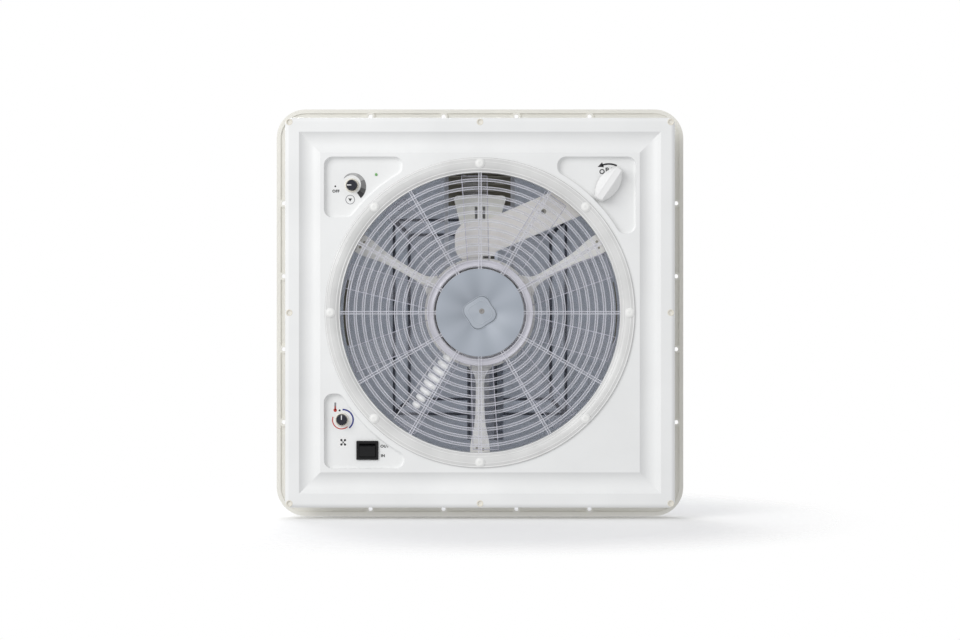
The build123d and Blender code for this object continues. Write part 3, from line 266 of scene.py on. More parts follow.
finishes = {
    "trim": mouldedPlastic("trimWhite", (0.85, 0.855, 0.85)),
    "flange": mouldedPlastic("flangeCream", (0.85, 0.835, 0.775), rough=0.5),
    "dome": lightShell("domeSmoke", (0.74, 0.765, 0.81), 0.55),
    # painted shade: near-black for shadow lines inside the dome and along its rail
    "domeMark": mouldedPlastic("domePaintedShade", (0.035, 0.04, 0.055), rough=0.5),
    "support": mouldedPlastic("supportCream", (0.96, 0.95, 0.925)),
    "housing": mouldedPlastic("housingCream", (0.97, 0.945, 0.915)),
    # bracket: its own olive tint, darkened a little as painted shade
    "bracket": mouldedPlastic("bracketTintAndShade", (0.86, 0.86, 0.81), rough=0.5),
    "rail": lightShell("railSmoke", (0.66, 0.685, 0.73), 0.5),
    # recess and the two finishes below: painted shade, dark plates that stand in for the deep
    # shade of openings, slots and holes
    "recess": mouldedPlastic("recessPaintedShade", (0.155, 0.145, 0.113), rough=0.7),
    "recessRib": mouldedPlastic("recessRib", (0.34, 0.325, 0.275), rough=0.6),
    "recessDark": mouldedPlastic("recessDark", (0.05, 0.048, 0.04), rough=0.7),
    "screenEdge": mouldedPlastic("screenEdgeGrey", (0.50, 0.515, 0.56), rough=0.6),
    "screen": insectMesh("insectMesh", (0.30, 0.315, 0.372), (0.13, 0.14, 0.175), 0.40, 1.5),
    "guard": clearPlastic("guardClear", (0.70, 0.71, 0.77), 0.17, rough=0.1),
    "guardEdge": clearPlastic("guardEdge", (0.74, 0.74, 0.80), 0.85, rough=0.12),
    "guardBand": clearPlastic("guardBand", (0.76, 0.76, 0.75), 0.92, rough=0.25),
    "guardLip": clearPlastic("guardLip", (0.90, 0.90, 0.89), 0.92, rough=0.2),
    "hubBand": clearPlastic("hubBandLilac", (0.67, 0.665, 0.73), 0.7, rough=0.2),
    "disc": frostedDisc("discFrost", (0.34, 0.375, 0.425), (0.385, 0.42, 0.475), 8),
    "boss": frostedDisc("discBoss", (0.375, 0.41, 0.46), (0.405, 0.44, 0.49), 3),
    "bossLine": mouldedPlastic("discBossLine", (0.46, 0.50, 0.545), rough=0.3),
    "bossSpot": mouldedPlastic("discSpot", (0.26, 0.25, 0.24), rough=0.5),
    "blade": clearPlastic("bladeClear", (0.68, 0.68, 0.75), 0.07, rough=0.16),
    "sheen": lampShine("bladeSheen", (0.98, 0.98, 0.985), 0.5, 0.2),
    "bladeEdge": clearPlastic("bladeEdge", (0.72, 0.71, 0.80), 0.85, rough=0.15),
    "screwWhite": mouldedPlastic("screwWhite", (0.88, 0.88, 0.86), rough=0.35),
    # painted shade: the screws' cross slots a little darker than their heads
    "slotGrey": mouldedPlastic("slotGrey", (0.83, 0.83, 0.815), rough=0.6),
    "cream": mouldedPlastic("rimCream", (0.80, 0.765, 0.68), rough=0.45),
    "plug": mouldedPlastic("plugCream", (0.82, 0.80, 0.74), rough=0.6),
    "knob": mouldedPlastic("knobBlack", (0.022, 0.023, 0.032), rough=0.4, shine=0.22),
    "pointer": printedInk("pointerWhite", (0.86, 0.86, 0.85)),
    "ink": printedInk("inkBlack", (0.008, 0.008, 0.01)),
    "inkGrey": printedInk("inkGrey", (0.22, 0.22, 0.23)),
    "inkRed": printedInk("inkRed", (0.50, 0.035, 0.02)),
    "inkBlue": printedInk("inkBlue", (0.02, 0.03, 0.21)),
    "crescent0": printedInk("crescentPale", (0.46, 0.46, 0.46)),
    "crescent1": printedInk("crescentLight", (0.36, 0.36, 0.36)),
    "crescent2": printedInk("crescentGrey", (0.17, 0.17, 0.17)),
    "crescent3": printedInk("crescentDeep", (0.06, 0.06, 0.06)),
    "lamp": clearPlastic("lampGreen", (0.16, 0.42, 0.13), 1.0, rough=0.2),
    "handle": mouldedPlastic("handleWhite", (0.88, 0.88, 0.875), rough=0.32),
    "steel": brushedMetal("steelShaft", (0.62, 0.62, 0.63)),
    "darkSteel": brushedMetal("motorCan", (0.36, 0.37, 0.39), rough=0.4),
    "bronze": brushedMetal("wheelBronze", (0.62, 0.45, 0.22), rough=0.35),
    "nylon": mouldedPlastic("gearNylon", (0.84, 0.82, 0.75), rough=0.4),
    "rubber": mouldedPlastic("sealRubber", (0.03, 0.03, 0.032), rough=0.8),
    "caseDark": mouldedPlastic("caseDark", (0.05, 0.05, 0.055), rough=0.55),
    "board": mouldedPlastic("boardGreen", (0.03, 0.18, 0.07), rough=0.4),
    "switch": mouldedPlastic("switchBlack", (0.008, 0.008, 0.009), rough=0.3, shine=0.2),
    "terminal": mouldedPlastic("terminalGrey", (0.55, 0.55, 0.53), rough=0.5),
}

nodeFinishes = {
    "trim": ["ceiling_frame"],
    "flange": ["roof_frame"],
    "dome": ["dome"],
    "rubber": ["dome_seal"],
    "rail": ["dome_rail"],
    "steel": ["hinge_pins", "fan_nut", "motor_shaft", "motor_bearings", "crank_spindle",
              "drive_shaft", "worm", "arm_shaft", "speed_shaft", "speed_control",
              "thermostat_shaft"],
    "screenEdge": ["flyscreen_frame"],
    "screen": ["flyscreen_mesh"],
    "guard": ["grille"],
    "screwWhite": ["grille_screws", "support_screws"],
    "blade": ["fan_rotor"],
    "darkSteel": ["motor_can", "motor_armature"],
    "support": ["motor_support", "lift_arm"],
    "handle": ["crank_handle"],
    "nylon": ["crank_bevel", "shaft_bevels", "worm_bevel"],
    "bronze": ["worm_wheel"],
    "housing": ["drive_housing", "drive_cover"],
    "knob": ["speed_knob", "thermostat_knob"],
    "cream": ["knob_bezels"],
    "caseDark": ["thermostat", "control_cover"],
    "lamp": ["status_lamp"],
    "board": ["control_board"],
    "switch": ["rocker_housing", "rocker"],
    "terminal": ["terminal_block"],
}
for finish, names in nodeFinishes.items():
    for name in names:
        mesh = nodes[name].data
        for index in range(len(mesh.materials)):
            nodes[name].material_slots[index].material = finishes[finish]
print("finishes done")


# Mesh helpers
def around(radius, turn, centre=(0, 0)):
    return centre[0] + radius * math.cos(turn), centre[1] + radius * math.sin(turn)


def spun(x, y, turn, centre=(0, 0)):
    cosine, sine = math.cos(turn), math.sin(turn)
    return centre[0] + x * cosine - y * sine, centre[1] + x * sine + y * cosine


def rectangle(x0, x1, y0, y1):
    return [(x0, y0), (x1, y0), (x1, y1), (x0, y1)]


def addMesh(name, points, faces, finish, body="base", smooth=True):
    mesh = bpy.data.meshes.new(name)
    mesh.from_pydata([tuple(p) for p in points], [], faces)
    mesh.update()
    for face in mesh.polygons:
        face.use_smooth = smooth
    mesh.materials.append(finishes[finish])
    piece = newObject(name, mesh)
    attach(piece, body)
    return piece


def addFlat(name, outline, low, high, finish, body="base"):
    return addMesh(name, *plateMesh(outline, low, high), finish, body, smooth=False)


def softEdges(piece, width):
    bevel = piece.modifiers.new("edges", "BEVEL")
    bevel.width = width
    bevel.segments = 2
    bevel.limit_method = "ANGLE"
    bevel.angle_limit = math.radians(40)
    normals = piece.modifiers.new("normals", "WEIGHTED_NORMAL")
    normals.keep_sharp = True


def latheMesh(profile, steps, centre=(0, 0)):
    # closed (radius, level) profile turned about the upright axis
    points, faces = [], []
    count = len(profile)
    for i in range(steps):
        turn = 2 * math.pi * i / steps
        points += [(*around(radius, turn, centre), level) for radius, level in profile]
        here, ahead = i * count, (i + 1) % steps * count
        for j in range(count):
            k = (j + 1) % count
            faces.append((here + j, here + k, ahead + k, ahead + j))
    return points, faces


def plateFaces(count):
    # both flats and the sides of an outline that is given two levels
    faces = [tuple(range(count)), tuple(range(2 * count - 1, count - 1, -1))]
    faces += [(i, i + count, (i + 1) % count + count, (i + 1) % count) for i in range(count)]
    return faces


def plateMesh(outline, low, high):
    points = [(x, y, low) for x, y in outline] + [(x, y, high) for x, y in outline]
    return points, plateFaces(len(outline))


def joinParts(parts):
    points, faces = [], []
    for partPoints, partFaces in parts:
        start = len(points)
        points += partPoints
        faces += [tuple(index + start for index in face) for face in partFaces]
    return points, faces


def turned(part, angle):
    return [(*spun(x, y, angle), z) for x, y, z in part[0]], part[1]


def arcPlate(centre, inner, outer, start, end, low, high, steps=48):
    # band of a ring seen from below; angles in degrees as the view shows them
    # outer may be one radius, or a start and an end radius
    first, last = outer if isinstance(outer, tuple) else (outer, outer)
    rim, back = [], []
    for i in range(steps + 1):
        share = i / steps
        turn = -math.radians(start + (end - start) * share)
        radius = first + (last - first) * share
        rim.append(around(radius, turn, centre))
        back.append(around(inner, turn, centre))
    points = [(x, y, low) for x, y in rim + back] + [(x, y, high) for x, y in rim + back]
    half = steps + 1
    faces = []
    for i in range(steps):
        faces.append((i, i + 1, half + i + 1, half + i))
        faces.append((2 * half + i, 3 * half + i, 3 * half + i + 1, 2 * half + i + 1))
        faces.append((i, 2 * half + i, 2 * half + i + 1, i + 1))
        faces.append((half + i, half + i + 1, 3 * half + i + 1, 3 * half + i))
    faces.append((0, half, 3 * half, 2 * half))
    faces.append((steps, 2 * half + steps, 3 * half + steps, half + steps))
    return points, faces


def roundOutline(centre, radius, steps=40):
    return [around(radius, 2 * math.pi * i / steps, centre) for i in range(steps)]


def addTube(name, routes, radius, finish, body, closed=False):
    curve = bpy.data.curves.new(name, "CURVE")
    curve.dimensions = "3D"
    curve.bevel_depth = radius
    curve.bevel_resolution = 2
    for route in routes:
        line = curve.splines.new("POLY")
        line.points.add(len(route) - 1)
        for point, place in zip(line.points, route):
            point.co = (*place, 1)
        line.use_cyclic_u = closed
    curve.materials.append(finishes[finish])
    piece = newObject(name, curve)
    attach(piece, body)


def addWords(name, words, size, place, turn=0.0, spacing=1.0, bold=0.02, body="base"):
    # lettering on a pocket's floor that reads from below
    text = bpy.data.curves.new(name, "FONT")
    text.body = words
    text.size = size
    text.align_x = "CENTER"
    text.align_y = "CENTER"
    text.extrude = levels["wordDepth"]
    text.offset = size * bold
    text.space_character = spacing
    text.materials.append(finishes["ink"])
    piece = newObject(name, text)
    piece.location = (place[0], place[1], levels["word"])
    piece.rotation_euler = (math.pi, 0, turn)
    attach(piece, body)


levels = {"trimFace": -0.045, "guardFront": -0.0472, "guardBack": -0.043,
          "pocketFloor": -0.039, "print": 0.00012, "sunk": 0.0002, "word": -0.0391,
          "wordDepth": 0.00006}
nearAxis = 0.00001


# Clear guard: each ring and spoke is a clear web with two bright lips
guard = {"firstRing": 0.0586, "pitch": 0.0091, "rings": 11, "ringWidth": 0.0034,
         "lip": 0.0007, "webDepth": 0.0009, "spokes": 12, "spokeWidth": 0.0036,
         "discRadius": 0.0497, "gapEdge": 0.0509, "bandInner": 0.0524,
         "bandOuter": 0.0598, "boreRadius": 0.158, "midLip": 0.1698,
         "outerRadius": 0.175, "ringLift": 0.0001, "steps": 180}


def lipProfile(radius, width, front, back):
    # narrow strip with a round front
    half = width / 2
    return [(radius - half, back), (radius - half, front + 0.0002),
            (radius - half * 0.6, front + 0.00005), (radius, front),
            (radius + half * 0.6, front + 0.00005), (radius + half, front + 0.0002),
            (radius + half, back)]


def spokeStrip(s, y0, y1, front, back):
    x0, x1 = s["discRadius"] - 0.0005, s["boreRadius"] + 0.0005
    return plateMesh(rectangle(x0, x1, y0, y1), front, back)


def makeGuard(s):
    front, back, face = levels["guardFront"], levels["guardBack"], levels["trimFace"]
    web, half, lip = front + s["webDepth"], s["ringWidth"] / 2, s["lip"]
    webs, lips = [], []
    for i in range(1, s["rings"]):
        radius = s["firstRing"] + s["pitch"] * i
        webs.append(latheMesh([(radius - half, back), (radius - half, web),
                               (radius + half, web), (radius + half, back)], s["steps"]))
        for side in (-1, 1):
            middle = radius + side * (half - lip / 2)
            lips.append(latheMesh(lipProfile(middle, lip, front, web), s["steps"]))
    ringPiece = addMesh("guardRingWebs", *joinParts(webs), "guard", smooth=False)
    ringLips = addMesh("guardRingLips", *joinParts(lips), "guardEdge")
    half = s["spokeWidth"] / 2
    bars, edges = [], []
    for i in range(s["spokes"]):
        turn = 2 * math.pi * i / s["spokes"]
        bars.append(turned(spokeStrip(s, -half, half, web, back), turn))
        for side in (-1, 1):
            edge = sorted((side * half, side * (half - lip)))
            edges.append(turned(spokeStrip(s, *edge, front - 0.0001, web), turn))
    addMesh("guardSpokeWebs", *joinParts(bars), "guard", smooth=False)
    spokeLips = addMesh("guardSpokeLips", *joinParts(edges), "guardEdge", smooth=False)
    # lilac band round the middle, with a shallow channel
    inner, outer = s["bandInner"], s["bandOuter"]
    band = [(inner, back), (inner, front + 0.0004), (inner + 0.0004, front),
            (inner + 0.0011, front), (inner + 0.0014, front + 0.0007),
            (outer - 0.0016, front + 0.0007), (outer - 0.0013, front),
            (outer - 0.0004, front), (outer, front + 0.0004), (outer, back)]
    hubBand = addMesh("guardHubBand", *latheMesh(band, s["steps"]), "hubBand")
    # wide outer ring on the trim, with a lip at each edge and one between
    bore, rim = s["boreRadius"], s["outerRadius"]
    flat = [(bore, back), (bore, front + 0.0003), (rim - 0.0010, front + 0.0003),
            (rim, front + 0.0012), (rim, face - s["ringLift"]),
            (bore + 0.0019, face - s["ringLift"]), (bore + 0.0019, back)]
    outerRing = addMesh("guardOuterRing", *latheMesh(flat, s["steps"]), "guardBand")
    rimLips = [latheMesh(lipProfile(radius, width, front, front + 0.0005), s["steps"])
               for radius, width in ((bore + 0.0006, 0.0011), (bore + 0.0042, 0.0008),
                                     (s["midLip"], 0.0008), (rim - 0.0015, 0.0011))]
    addMesh("guardRimLips", *joinParts(rimLips), "guardLip")
    # milky middle disc with its edge turned down
    radius = s["discRadius"]
    top = front + 0.0003
    disc = [(nearAxis, top), (radius - 0.0020, top), (radius - 0.0016, top),
            (radius - 0.0008, top - 0.0003),
            (radius - 0.0002, top), (radius, top + 0.0006), (radius, back), (nearAxis, back)]
    plate = addMesh("guardDisc", *latheMesh(disc, s["steps"]), "disc")
    # dark slits between disc and band, broken by the spokes; the slits are painted shade seen
    # through the gaps
    slits = [arcPlate((0, 0), radius + 0.0003, s["gapEdge"], start + 3, start + 27,
                      back - 0.0006, back) for start in (30, 60, 90, 120, 150, 180, 210)]
    addMesh("guardSlits", *joinParts(slits), "recessDark", smooth=False)
    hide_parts("grille")


makeGuard(guard)

# Raised square lobe and its spot in the middle of the disc
discBoss = {"radius": 0.0175, "squareness": 0.09, "turn": 12, "height": 0.0004, "steps": 72,
            "layers": ((1.0, 0.0), (0.9, 0.7), (0.62, 0.8), (0.5, 1.0), (0.3, 1.0)),
            "lines": ((1.02, 0.0), (0.72, 0.8)), "line": 0.00035,
            "spot": 0.0036, "spotAt": (481.8, 311.2)}


def lobeRing(s, share, lift, ease, level):
    # circle drawn out towards four corners
    points = []
    for i in range(s["steps"]):
        turn = 2 * math.pi * i / s["steps"]
        corner = math.cos(4 * (turn - math.radians(s["turn"])))
        radius = s["radius"] * share * (1 + s["squareness"] * corner * ease)
        points.append((*around(radius, turn), level - s["height"] * lift))
    return points


def makeDiscBoss(s):
    level = levels["guardFront"] + 0.0003
    steps = s["steps"]
    points, faces = [], []
    for share, lift in s["layers"]:
        points += lobeRing(s, share, lift, min(1, share * 1.3), level)
    for ring in range(len(s["layers"]) - 1):
        for i in range(steps):
            a, b = ring * steps + i, ring * steps + (i + 1) % steps
            faces.append((a, b, b + steps, a + steps))
    last = len(points) - steps
    faces.append(tuple(range(last, last + steps)))
    faces.append(tuple(range(steps - 1, -1, -1)))
    addMesh("discLobe", points, faces, "boss")
    loops = [lobeRing(s, share, lift, 1, level) for share, lift in s["lines"]]
    addTube("discLobeLines", loops, s["line"], "bossLine", "base", True)
    wide, low = s["spot"], level - s["height"]
    dip = [(nearAxis, low - 0.0001), (wide * 0.7, low - 0.0001), (wide, low + 0.0001),
           (wide, level), (nearAxis, level)]
    addMesh("discSpot", *latheMesh(dip, 40, spot(*s["spotAt"], level)), "bossSpot")


makeDiscBoss(discBoss)

# Screws of the guard, each on a low boss
guardScrews = {"circle": 0.1685, "count": 8, "head": 0.0042, "height": 0.0008,
               "boss": 0.0055, "bossHeight": 0.0004, "recess": 0.0019, "slot": 0.0006}


def domeHead(centre, radius, low, height, steps=32):
    # round head that rises away from the roof, towards -Z
    profile = [(nearAxis, low), (radius, low), (radius, low - height * 0.35),
               (radius * 0.85, low - height * 0.75), (radius * 0.55, low - height * 0.95),
               (nearAxis, low - height)]
    return latheMesh(profile, steps, centre)


def crossPlate(centre, reach, half, low, high, turn):
    outline = [spun(x, y, turn + math.pi / 2 * i, centre) for i in range(4)
               for x, y in ((reach, half), (half, half), (half, reach))]
    return plateMesh(outline, low, high)


def makeGuardScrews(s):
    bosses, heads, slots = [], [], []
    front = levels["guardFront"]
    for i in range(s["count"]):
        turn = 2 * math.pi * i / s["count"]
        centre = around(s["circle"], turn)
        boss = [(nearAxis, front + 0.0002), (s["boss"], front + 0.0002),
                (s["boss"], front - s["bossHeight"] * 0.6),
                (s["boss"] - 0.0004, front - s["bossHeight"]), (nearAxis, front - s["bossHeight"])]
        bosses.append(latheMesh(boss, 32, centre))
        low = front - s["bossHeight"]
        heads.append(domeHead(centre, s["head"], low, s["height"]))
        slots.append(crossPlate(centre, s["recess"], s["slot"], low - s["height"] - 0.00005,
                                low - s["height"] + 0.0003, 0.4 + turn))
    addMesh("guardBosses", *joinParts(bosses), "guardLip")
    headPiece = addMesh("guardScrewHeads", *joinParts(heads), "screwWhite")
    # painted shade: the cross slots are flat and only a little darker than the heads
    addMesh("guardScrewSlots", *joinParts(slots), "slotGrey", smooth=False)
    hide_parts("grille_screws")


makeGuardScrews(guardScrews)
print("guard done")


# Fan: thin edge lights along each clear blade
fan = {"blades": 10, "first": -91.4, "root": 0.0525, "tip": 0.1553, "front": 0.0117,
       "backRoot": 0.0123, "backTip": 0.0171, "heightRoot": 0.023, "heightTip": 0.013,
       "middle": -0.0275, "camber": 0.0022, "edge": 0.00055, "hub": 0.0515,
       "rimLevels": (-0.0398, -0.0386)}


def bladePoint(s, radius, share):
    along = (radius - s["root"]) / (s["tip"] - s["root"])
    back = s["backRoot"] + (s["backTip"] - s["backRoot"]) * along
    height = s["heightRoot"] + (s["heightTip"] - s["heightRoot"]) * along
    side = -back + (s["front"] + back) * share
    up = s["middle"] - height / 2 + height * share + s["camber"] * 4 * share * (1 - share)
    return radius, side, up


def makeFanEdges(s):
    root, tip, routes = s["root"], s["tip"], []
    for i in range(s["blades"]):
        turn = math.radians(s["first"] + 360 / s["blades"] * i)
        outline = [bladePoint(s, root + (tip - root) * j / 8, 0) for j in range(9)]
        outline += [bladePoint(s, tip, j / 6) for j in range(1, 7)]
        outline += [bladePoint(s, tip - (tip - root) * j / 8, 1) for j in range(1, 9)]
        routes.append([(*spun(x, y, turn), z) for x, y, z in outline])
    addTube("fanBladeEdges", routes, s["edge"], "bladeEdge", "fan")
    rim = rectangle(s["hub"] - 0.0008, s["hub"] + 0.0004, *s["rimLevels"])
    addMesh("fanHubRim", *latheMesh(rim, 120), "bladeEdge", "fan")


makeFanEdges(fan)

# Painted lamp reflection on the blade at the lower left, seen between the guard's rings
bladeSheen = {"blade": 235.4, "lift": 0.0015, "middle": 0.575,
              "patches": ((0.0632, 0.8), (0.0723, 0.95), (0.0814, 1.05), (0.0905, 1.1),
                          (0.0996, 1.05), (0.1087, 0.9), (0.1178, 0.75), (0.1269, 0.6)),
              "layers": ((1.0, 0.0), (0.72, 0.0002), (0.45, 0.0004)),
              "along": 0.0033, "across": 0.0080, "width": 0.027, "edge": (0.0700, 0.1550),
              "skin": 0.0001, "steps": 24, "blunt": 0.6}


def makeBladeSheen(s, blades):
    turn = -math.radians(s["blade"])
    steps, parts = s["steps"], []
    for radius, size in s["patches"]:
        for spread, lower in s["layers"]:
            outline = []
            for i in range(steps):
                angle = 2 * math.pi * i / steps
                along = math.copysign(abs(math.cos(angle)) ** s["blunt"], math.cos(angle))
                x = radius + s["along"] * spread * along
                share = s["middle"] + s["across"] * size * spread * math.sin(angle) / s["width"]
                _, side, up = bladePoint(blades, x, share)
                outline.append((*spun(x, side, turn), up - s["lift"] - lower))
            back = [(x, y, z + s["skin"]) for x, y, z in outline]
            parts.append((outline + back, plateFaces(steps)))
    addMesh("bladeSheen", *joinParts(parts), "sheen", "fan")
    edge = []
    for i in range(9):
        x, side, up = bladePoint(blades, s["edge"][0] + (s["edge"][1] - s["edge"][0]) * i / 8, 1)
        edge.append((*spun(x, side, turn), up - blades["edge"] / 2))
    addTube("bladeSheenEdge", [edge], blades["edge"], "sheen", "fan")


makeBladeSheen(bladeSheen, fan)
print("fan done")


# Marks round the speed knob
speedDial = {"knob": (351.4, 184.8), "dot": (335.3, 186.3), "word": (335.9, 191.3),
             "ring": (350.2, 199.6), "lamp": (376.1, 174.3), "inner": 9.6, "first": 10.3,
             "last": 16.4, "start": 138, "end": -55, "runs": 10, "dotSize": 0.9, "size": 3.8,
             "ringEdges": (4.1, 4.7), "wedge": 1.9,
             "tones": ("crescent1", "crescent1", "crescent0", "crescent0", "crescent1",
                       "crescent1", "crescent2", "crescent2", "crescent3", "ink")}
inkLayer = (levels["pocketFloor"] - levels["print"], levels["pocketFloor"] + levels["sunk"])


def onFloor(px, py):
    return spot(px, py, levels["pocketFloor"])


def px(value):
    # a length in the view on a pocket's floor, in metres
    away = levels["pocketFloor"] - viewCamera["trimFace"] + viewCamera["distance"]
    return value * viewCamera["scale"] * away / viewCamera["distance"]


def makeSpeedDial(s):
    low, high = inkLayer
    centre = onFloor(*s["knob"])
    # crescent that widens while it darkens from grey to black
    for i in range(s["runs"]):
        shares = (i / s["runs"], (i + 1) / s["runs"])
        a, b = [s["start"] + (s["end"] - s["start"]) * share for share in shares]
        edge = [px(s["first"] + (s["last"] - s["first"]) * share) for share in shares]
        addMesh("speedCrescent%d" % i, *arcPlate(centre, px(s["inner"]), tuple(edge), a, b,
                                                low, high, 8), s["tones"][i], smooth=False)
    addFlat("speedOffDot", roundOutline(onFloor(*s["dot"]), px(s["dotSize"])), low, high, "ink")
    addWords("speedOffWord", "OFF", px(s["size"]), onFloor(*s["word"]), spacing=1.1, bold=0.04)
    ring = onFloor(*s["ring"])
    inner, outer = [px(edge) for edge in s["ringEdges"]]
    addMesh("lampIconRing", *arcPlate(ring, inner, outer, 0, 360, low, high), "inkGrey",
            smooth=False)
    size = px(s["wedge"])
    wedge = [(ring.x - size, ring.y - size * 0.6), (ring.x + size, ring.y - size * 0.6),
             (ring.x, ring.y + size)]
    addFlat("lampIcon", wedge, low, high, "ink")
    glow = [(nearAxis, -0.0401), (px(0.8), -0.0400), (px(1.2), -0.0396), (px(1.3), high),
            (nearAxis, high)]
    addMesh("lampLens", *latheMesh(glow, 24, onFloor(*s["lamp"])), "lamp")


makeSpeedDial(speedDial)

# Slim cream collars round both knobs
knobCollars = {"centres": ((-0.1446, -0.1438), (-0.156, 0.1208)), "inner": 0.0062,
               "outer": 0.0079, "height": 0.0024}


def makeKnobCollars(s):
    level, low = levels["pocketFloor"], levels["pocketFloor"] - s["height"]
    inner, outer = s["inner"], s["outer"]
    profile = [(inner, level + 0.0002), (inner, low + 0.0004), (inner + 0.0003, low),
               (outer - 0.0007, low + 0.0002), (outer - 0.0001, low + 0.0010),
               (outer, level + 0.0002)]
    collars = [latheMesh(profile, 48, centre) for centre in s["centres"]]
    piece = addMesh("knobCollars", *joinParts(collars), "cream")
    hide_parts("knob_bezels")


makeKnobCollars(knobCollars)

# White pointers on both knobs
pointers = {"knobs": {"speed_dial": ((-0.1446, -0.1438), 180),
                      "thermostat_dial": ((-0.156, 0.1208), 90)},
            "face": -0.0481, "thick": (0.00012, 0.0002),
            "outline": ((0.0002, -0.00045), (0.0052, -0.0006), (0.0052, 0.0006),
                        (0.0002, 0.00045))}


def makePointers(s):
    low, high = s["face"] - s["thick"][0], s["face"] + s["thick"][1]
    for body, (centre, angle) in s["knobs"].items():
        outline = [spun(x, y, -math.radians(angle), centre) for x, y in s["outline"]]
        addFlat(body + "Pointer", outline, low, high, "pointer", body)


makePointers(pointers)

# Marks round the thermostat knob
heatDial = {"cold": ((342.9, 419.8), 9.5, 11.0, 92, -52),
            "warm": ((341.5, 419.9), 8.5, 9.5, -48, -200),
            "dot": (339.6, 410.4), "dotSize": 1.0, "tube": (335.3, 402.5),
            "bulb": (335.2, 410.2), "bulbSize": 1.7, "half": 0.9, "fluid": (0.6, 4),
            "fanIcon": (343.2, 442.3), "plate": (4.9, 5.8), "hub": 0.8,
            "blades": ((-1.8, -2.2), (1.8, -2.2), (1.8, 2.2), (-1.8, 2.2)),
            "dots": ((0.55, 0.45), (1.0, 1.15))}


def makeHeatDial(s):
    low, high = inkLayer
    for name, finish in (("cold", "inkBlue"), ("warm", "inkRed")):
        middle, inner, outer, start, end = s[name]
        arc = arcPlate(onFloor(*middle), px(inner), px(outer), start, end, low, high)
        addMesh(name + "Arc", *arc, finish, smooth=False)
    addFlat("heatDot", roundOutline(onFloor(*s["dot"]), px(s["dotSize"])), low, high, "ink")
    tube, bulb, half = onFloor(*s["tube"]), onFloor(*s["bulb"]), px(s["half"])
    stem = [(tube.x - half, tube.y), (tube.x + half, tube.y),
            (bulb.x + half, bulb.y), (bulb.x - half, bulb.y)]
    addFlat("heatIconStem", stem, low, high, "inkGrey")
    thin, tall = half * s["fluid"][0], px(s["fluid"][1])
    front = low - 0.00005
    fluid = plateMesh(rectangle(bulb.x - thin, bulb.x + thin, bulb.y - tall, bulb.y), front, high)
    drop = plateMesh(roundOutline(bulb, px(s["bulbSize"])), front, high)
    addMesh("heatIconFluid", *joinParts([fluid, drop]), "inkRed", smooth=False)
    icon = onFloor(*s["fanIcon"])
    wide, tall = [px(side) for side in s["plate"]]
    addFlat("fanIconPlate", rectangle(icon.x - wide, icon.x + wide, icon.y - tall, icon.y + tall),
            low, high, "pointer")
    front = low - 0.0001
    blades = [plateMesh(roundOutline(icon, px(s["hub"]), 20), front, high)]
    for x, y in s["blades"]:
        for reach, size in s["dots"]:
            place = (icon.x + px(x * reach), icon.y + px(y * reach))
            blades.append(plateMesh(roundOutline(place, px(size), 20), front, high))
    addMesh("fanIcon", *joinParts(blades), "ink", smooth=False)


makeHeatDial(heatDial)

# Words beside the rocker
rockerMarks = {"words": (("Out", (384.7, 446.3)), ("In", (382.9, 455.8))), "size": 3.8}


def makeRockerMarks(s):
    for word, place in s["words"]:
        addWords("rocker" + word, word.upper(), px(s["size"]), onFloor(*place), spacing=1.1,
                 bold=0.042)


makeRockerMarks(rockerMarks)

# Arrow over the crank handle, and the word that follows its curve
openMark = {"centre": (608.8, 183.8), "radius": 19.8, "width": 1.7, "start": 66, "end": 111,
            "head": 3.6, "headShape": ((0, -1.2), (-0.75, 0.4), (0.75, 0.4)),
            "letters": (("O", 119), ("P", 97), ("E", 76), ("N", 55)),
            "letterRadius": 13.7, "size": 6.6}


def makeOpenMark(s):
    low, high = inkLayer
    centre, half = onFloor(*s["centre"]), s["width"] / 2
    arc = arcPlate(centre, px(s["radius"] - half), px(s["radius"] + half), s["start"], s["end"],
                   low, high)
    turn, size = -math.radians(s["end"]), px(s["head"])
    tip = around(px(s["radius"]), turn, centre)
    head = plateMesh([spun(x * size, y * size, turn, tip) for x, y in s["headShape"]], low, high)
    addMesh("openArrow", *joinParts([arc, head]), "ink", smooth=False)
    for letter, angle in s["letters"]:
        place = around(px(s["letterRadius"]), -math.radians(angle), centre)
        addWords("open" + letter, letter, px(s["size"]), place, turn=math.radians(90 - angle),
                 bold=0.026)


makeOpenMark(openMark)

# Grip of the crank: full rounded ends and a flat strip with a fine rim on its face
grip = {"centre": (0.145, -0.145), "angle": -56, "low": -0.0402,
        "layers": ((0.0220, 0.0120, 0.0040, 0.0), (0.0220, 0.0120, 0.0040, 0.0024),
                   (0.0216, 0.0113, 0.0040, 0.0040), (0.0209, 0.0056, 0.0039, 0.0130),
                   (0.0206, 0.0041, 0.0037, 0.0146), (0.0202, 0.0037, 0.0034, 0.0148)),
        "strip": (0.0193, 0.0032, 0.0030), "rim": 0.0003, "steps": 80}


def gripOutline(s, half, wide, blunt, level):
    # lens with blunt ends
    turn = math.radians(s["angle"])
    points = []
    for i in range(s["steps"]):
        angle = 2 * math.pi * i / s["steps"]
        u, v = math.cos(angle), math.sin(angle)
        x = half * u
        y = (wide + (blunt - wide) * u * u) * math.copysign(min(1.0, 4 * abs(v)), v)
        points.append((*spun(x, y, turn, s["centre"]), s["low"] - level))
    return points


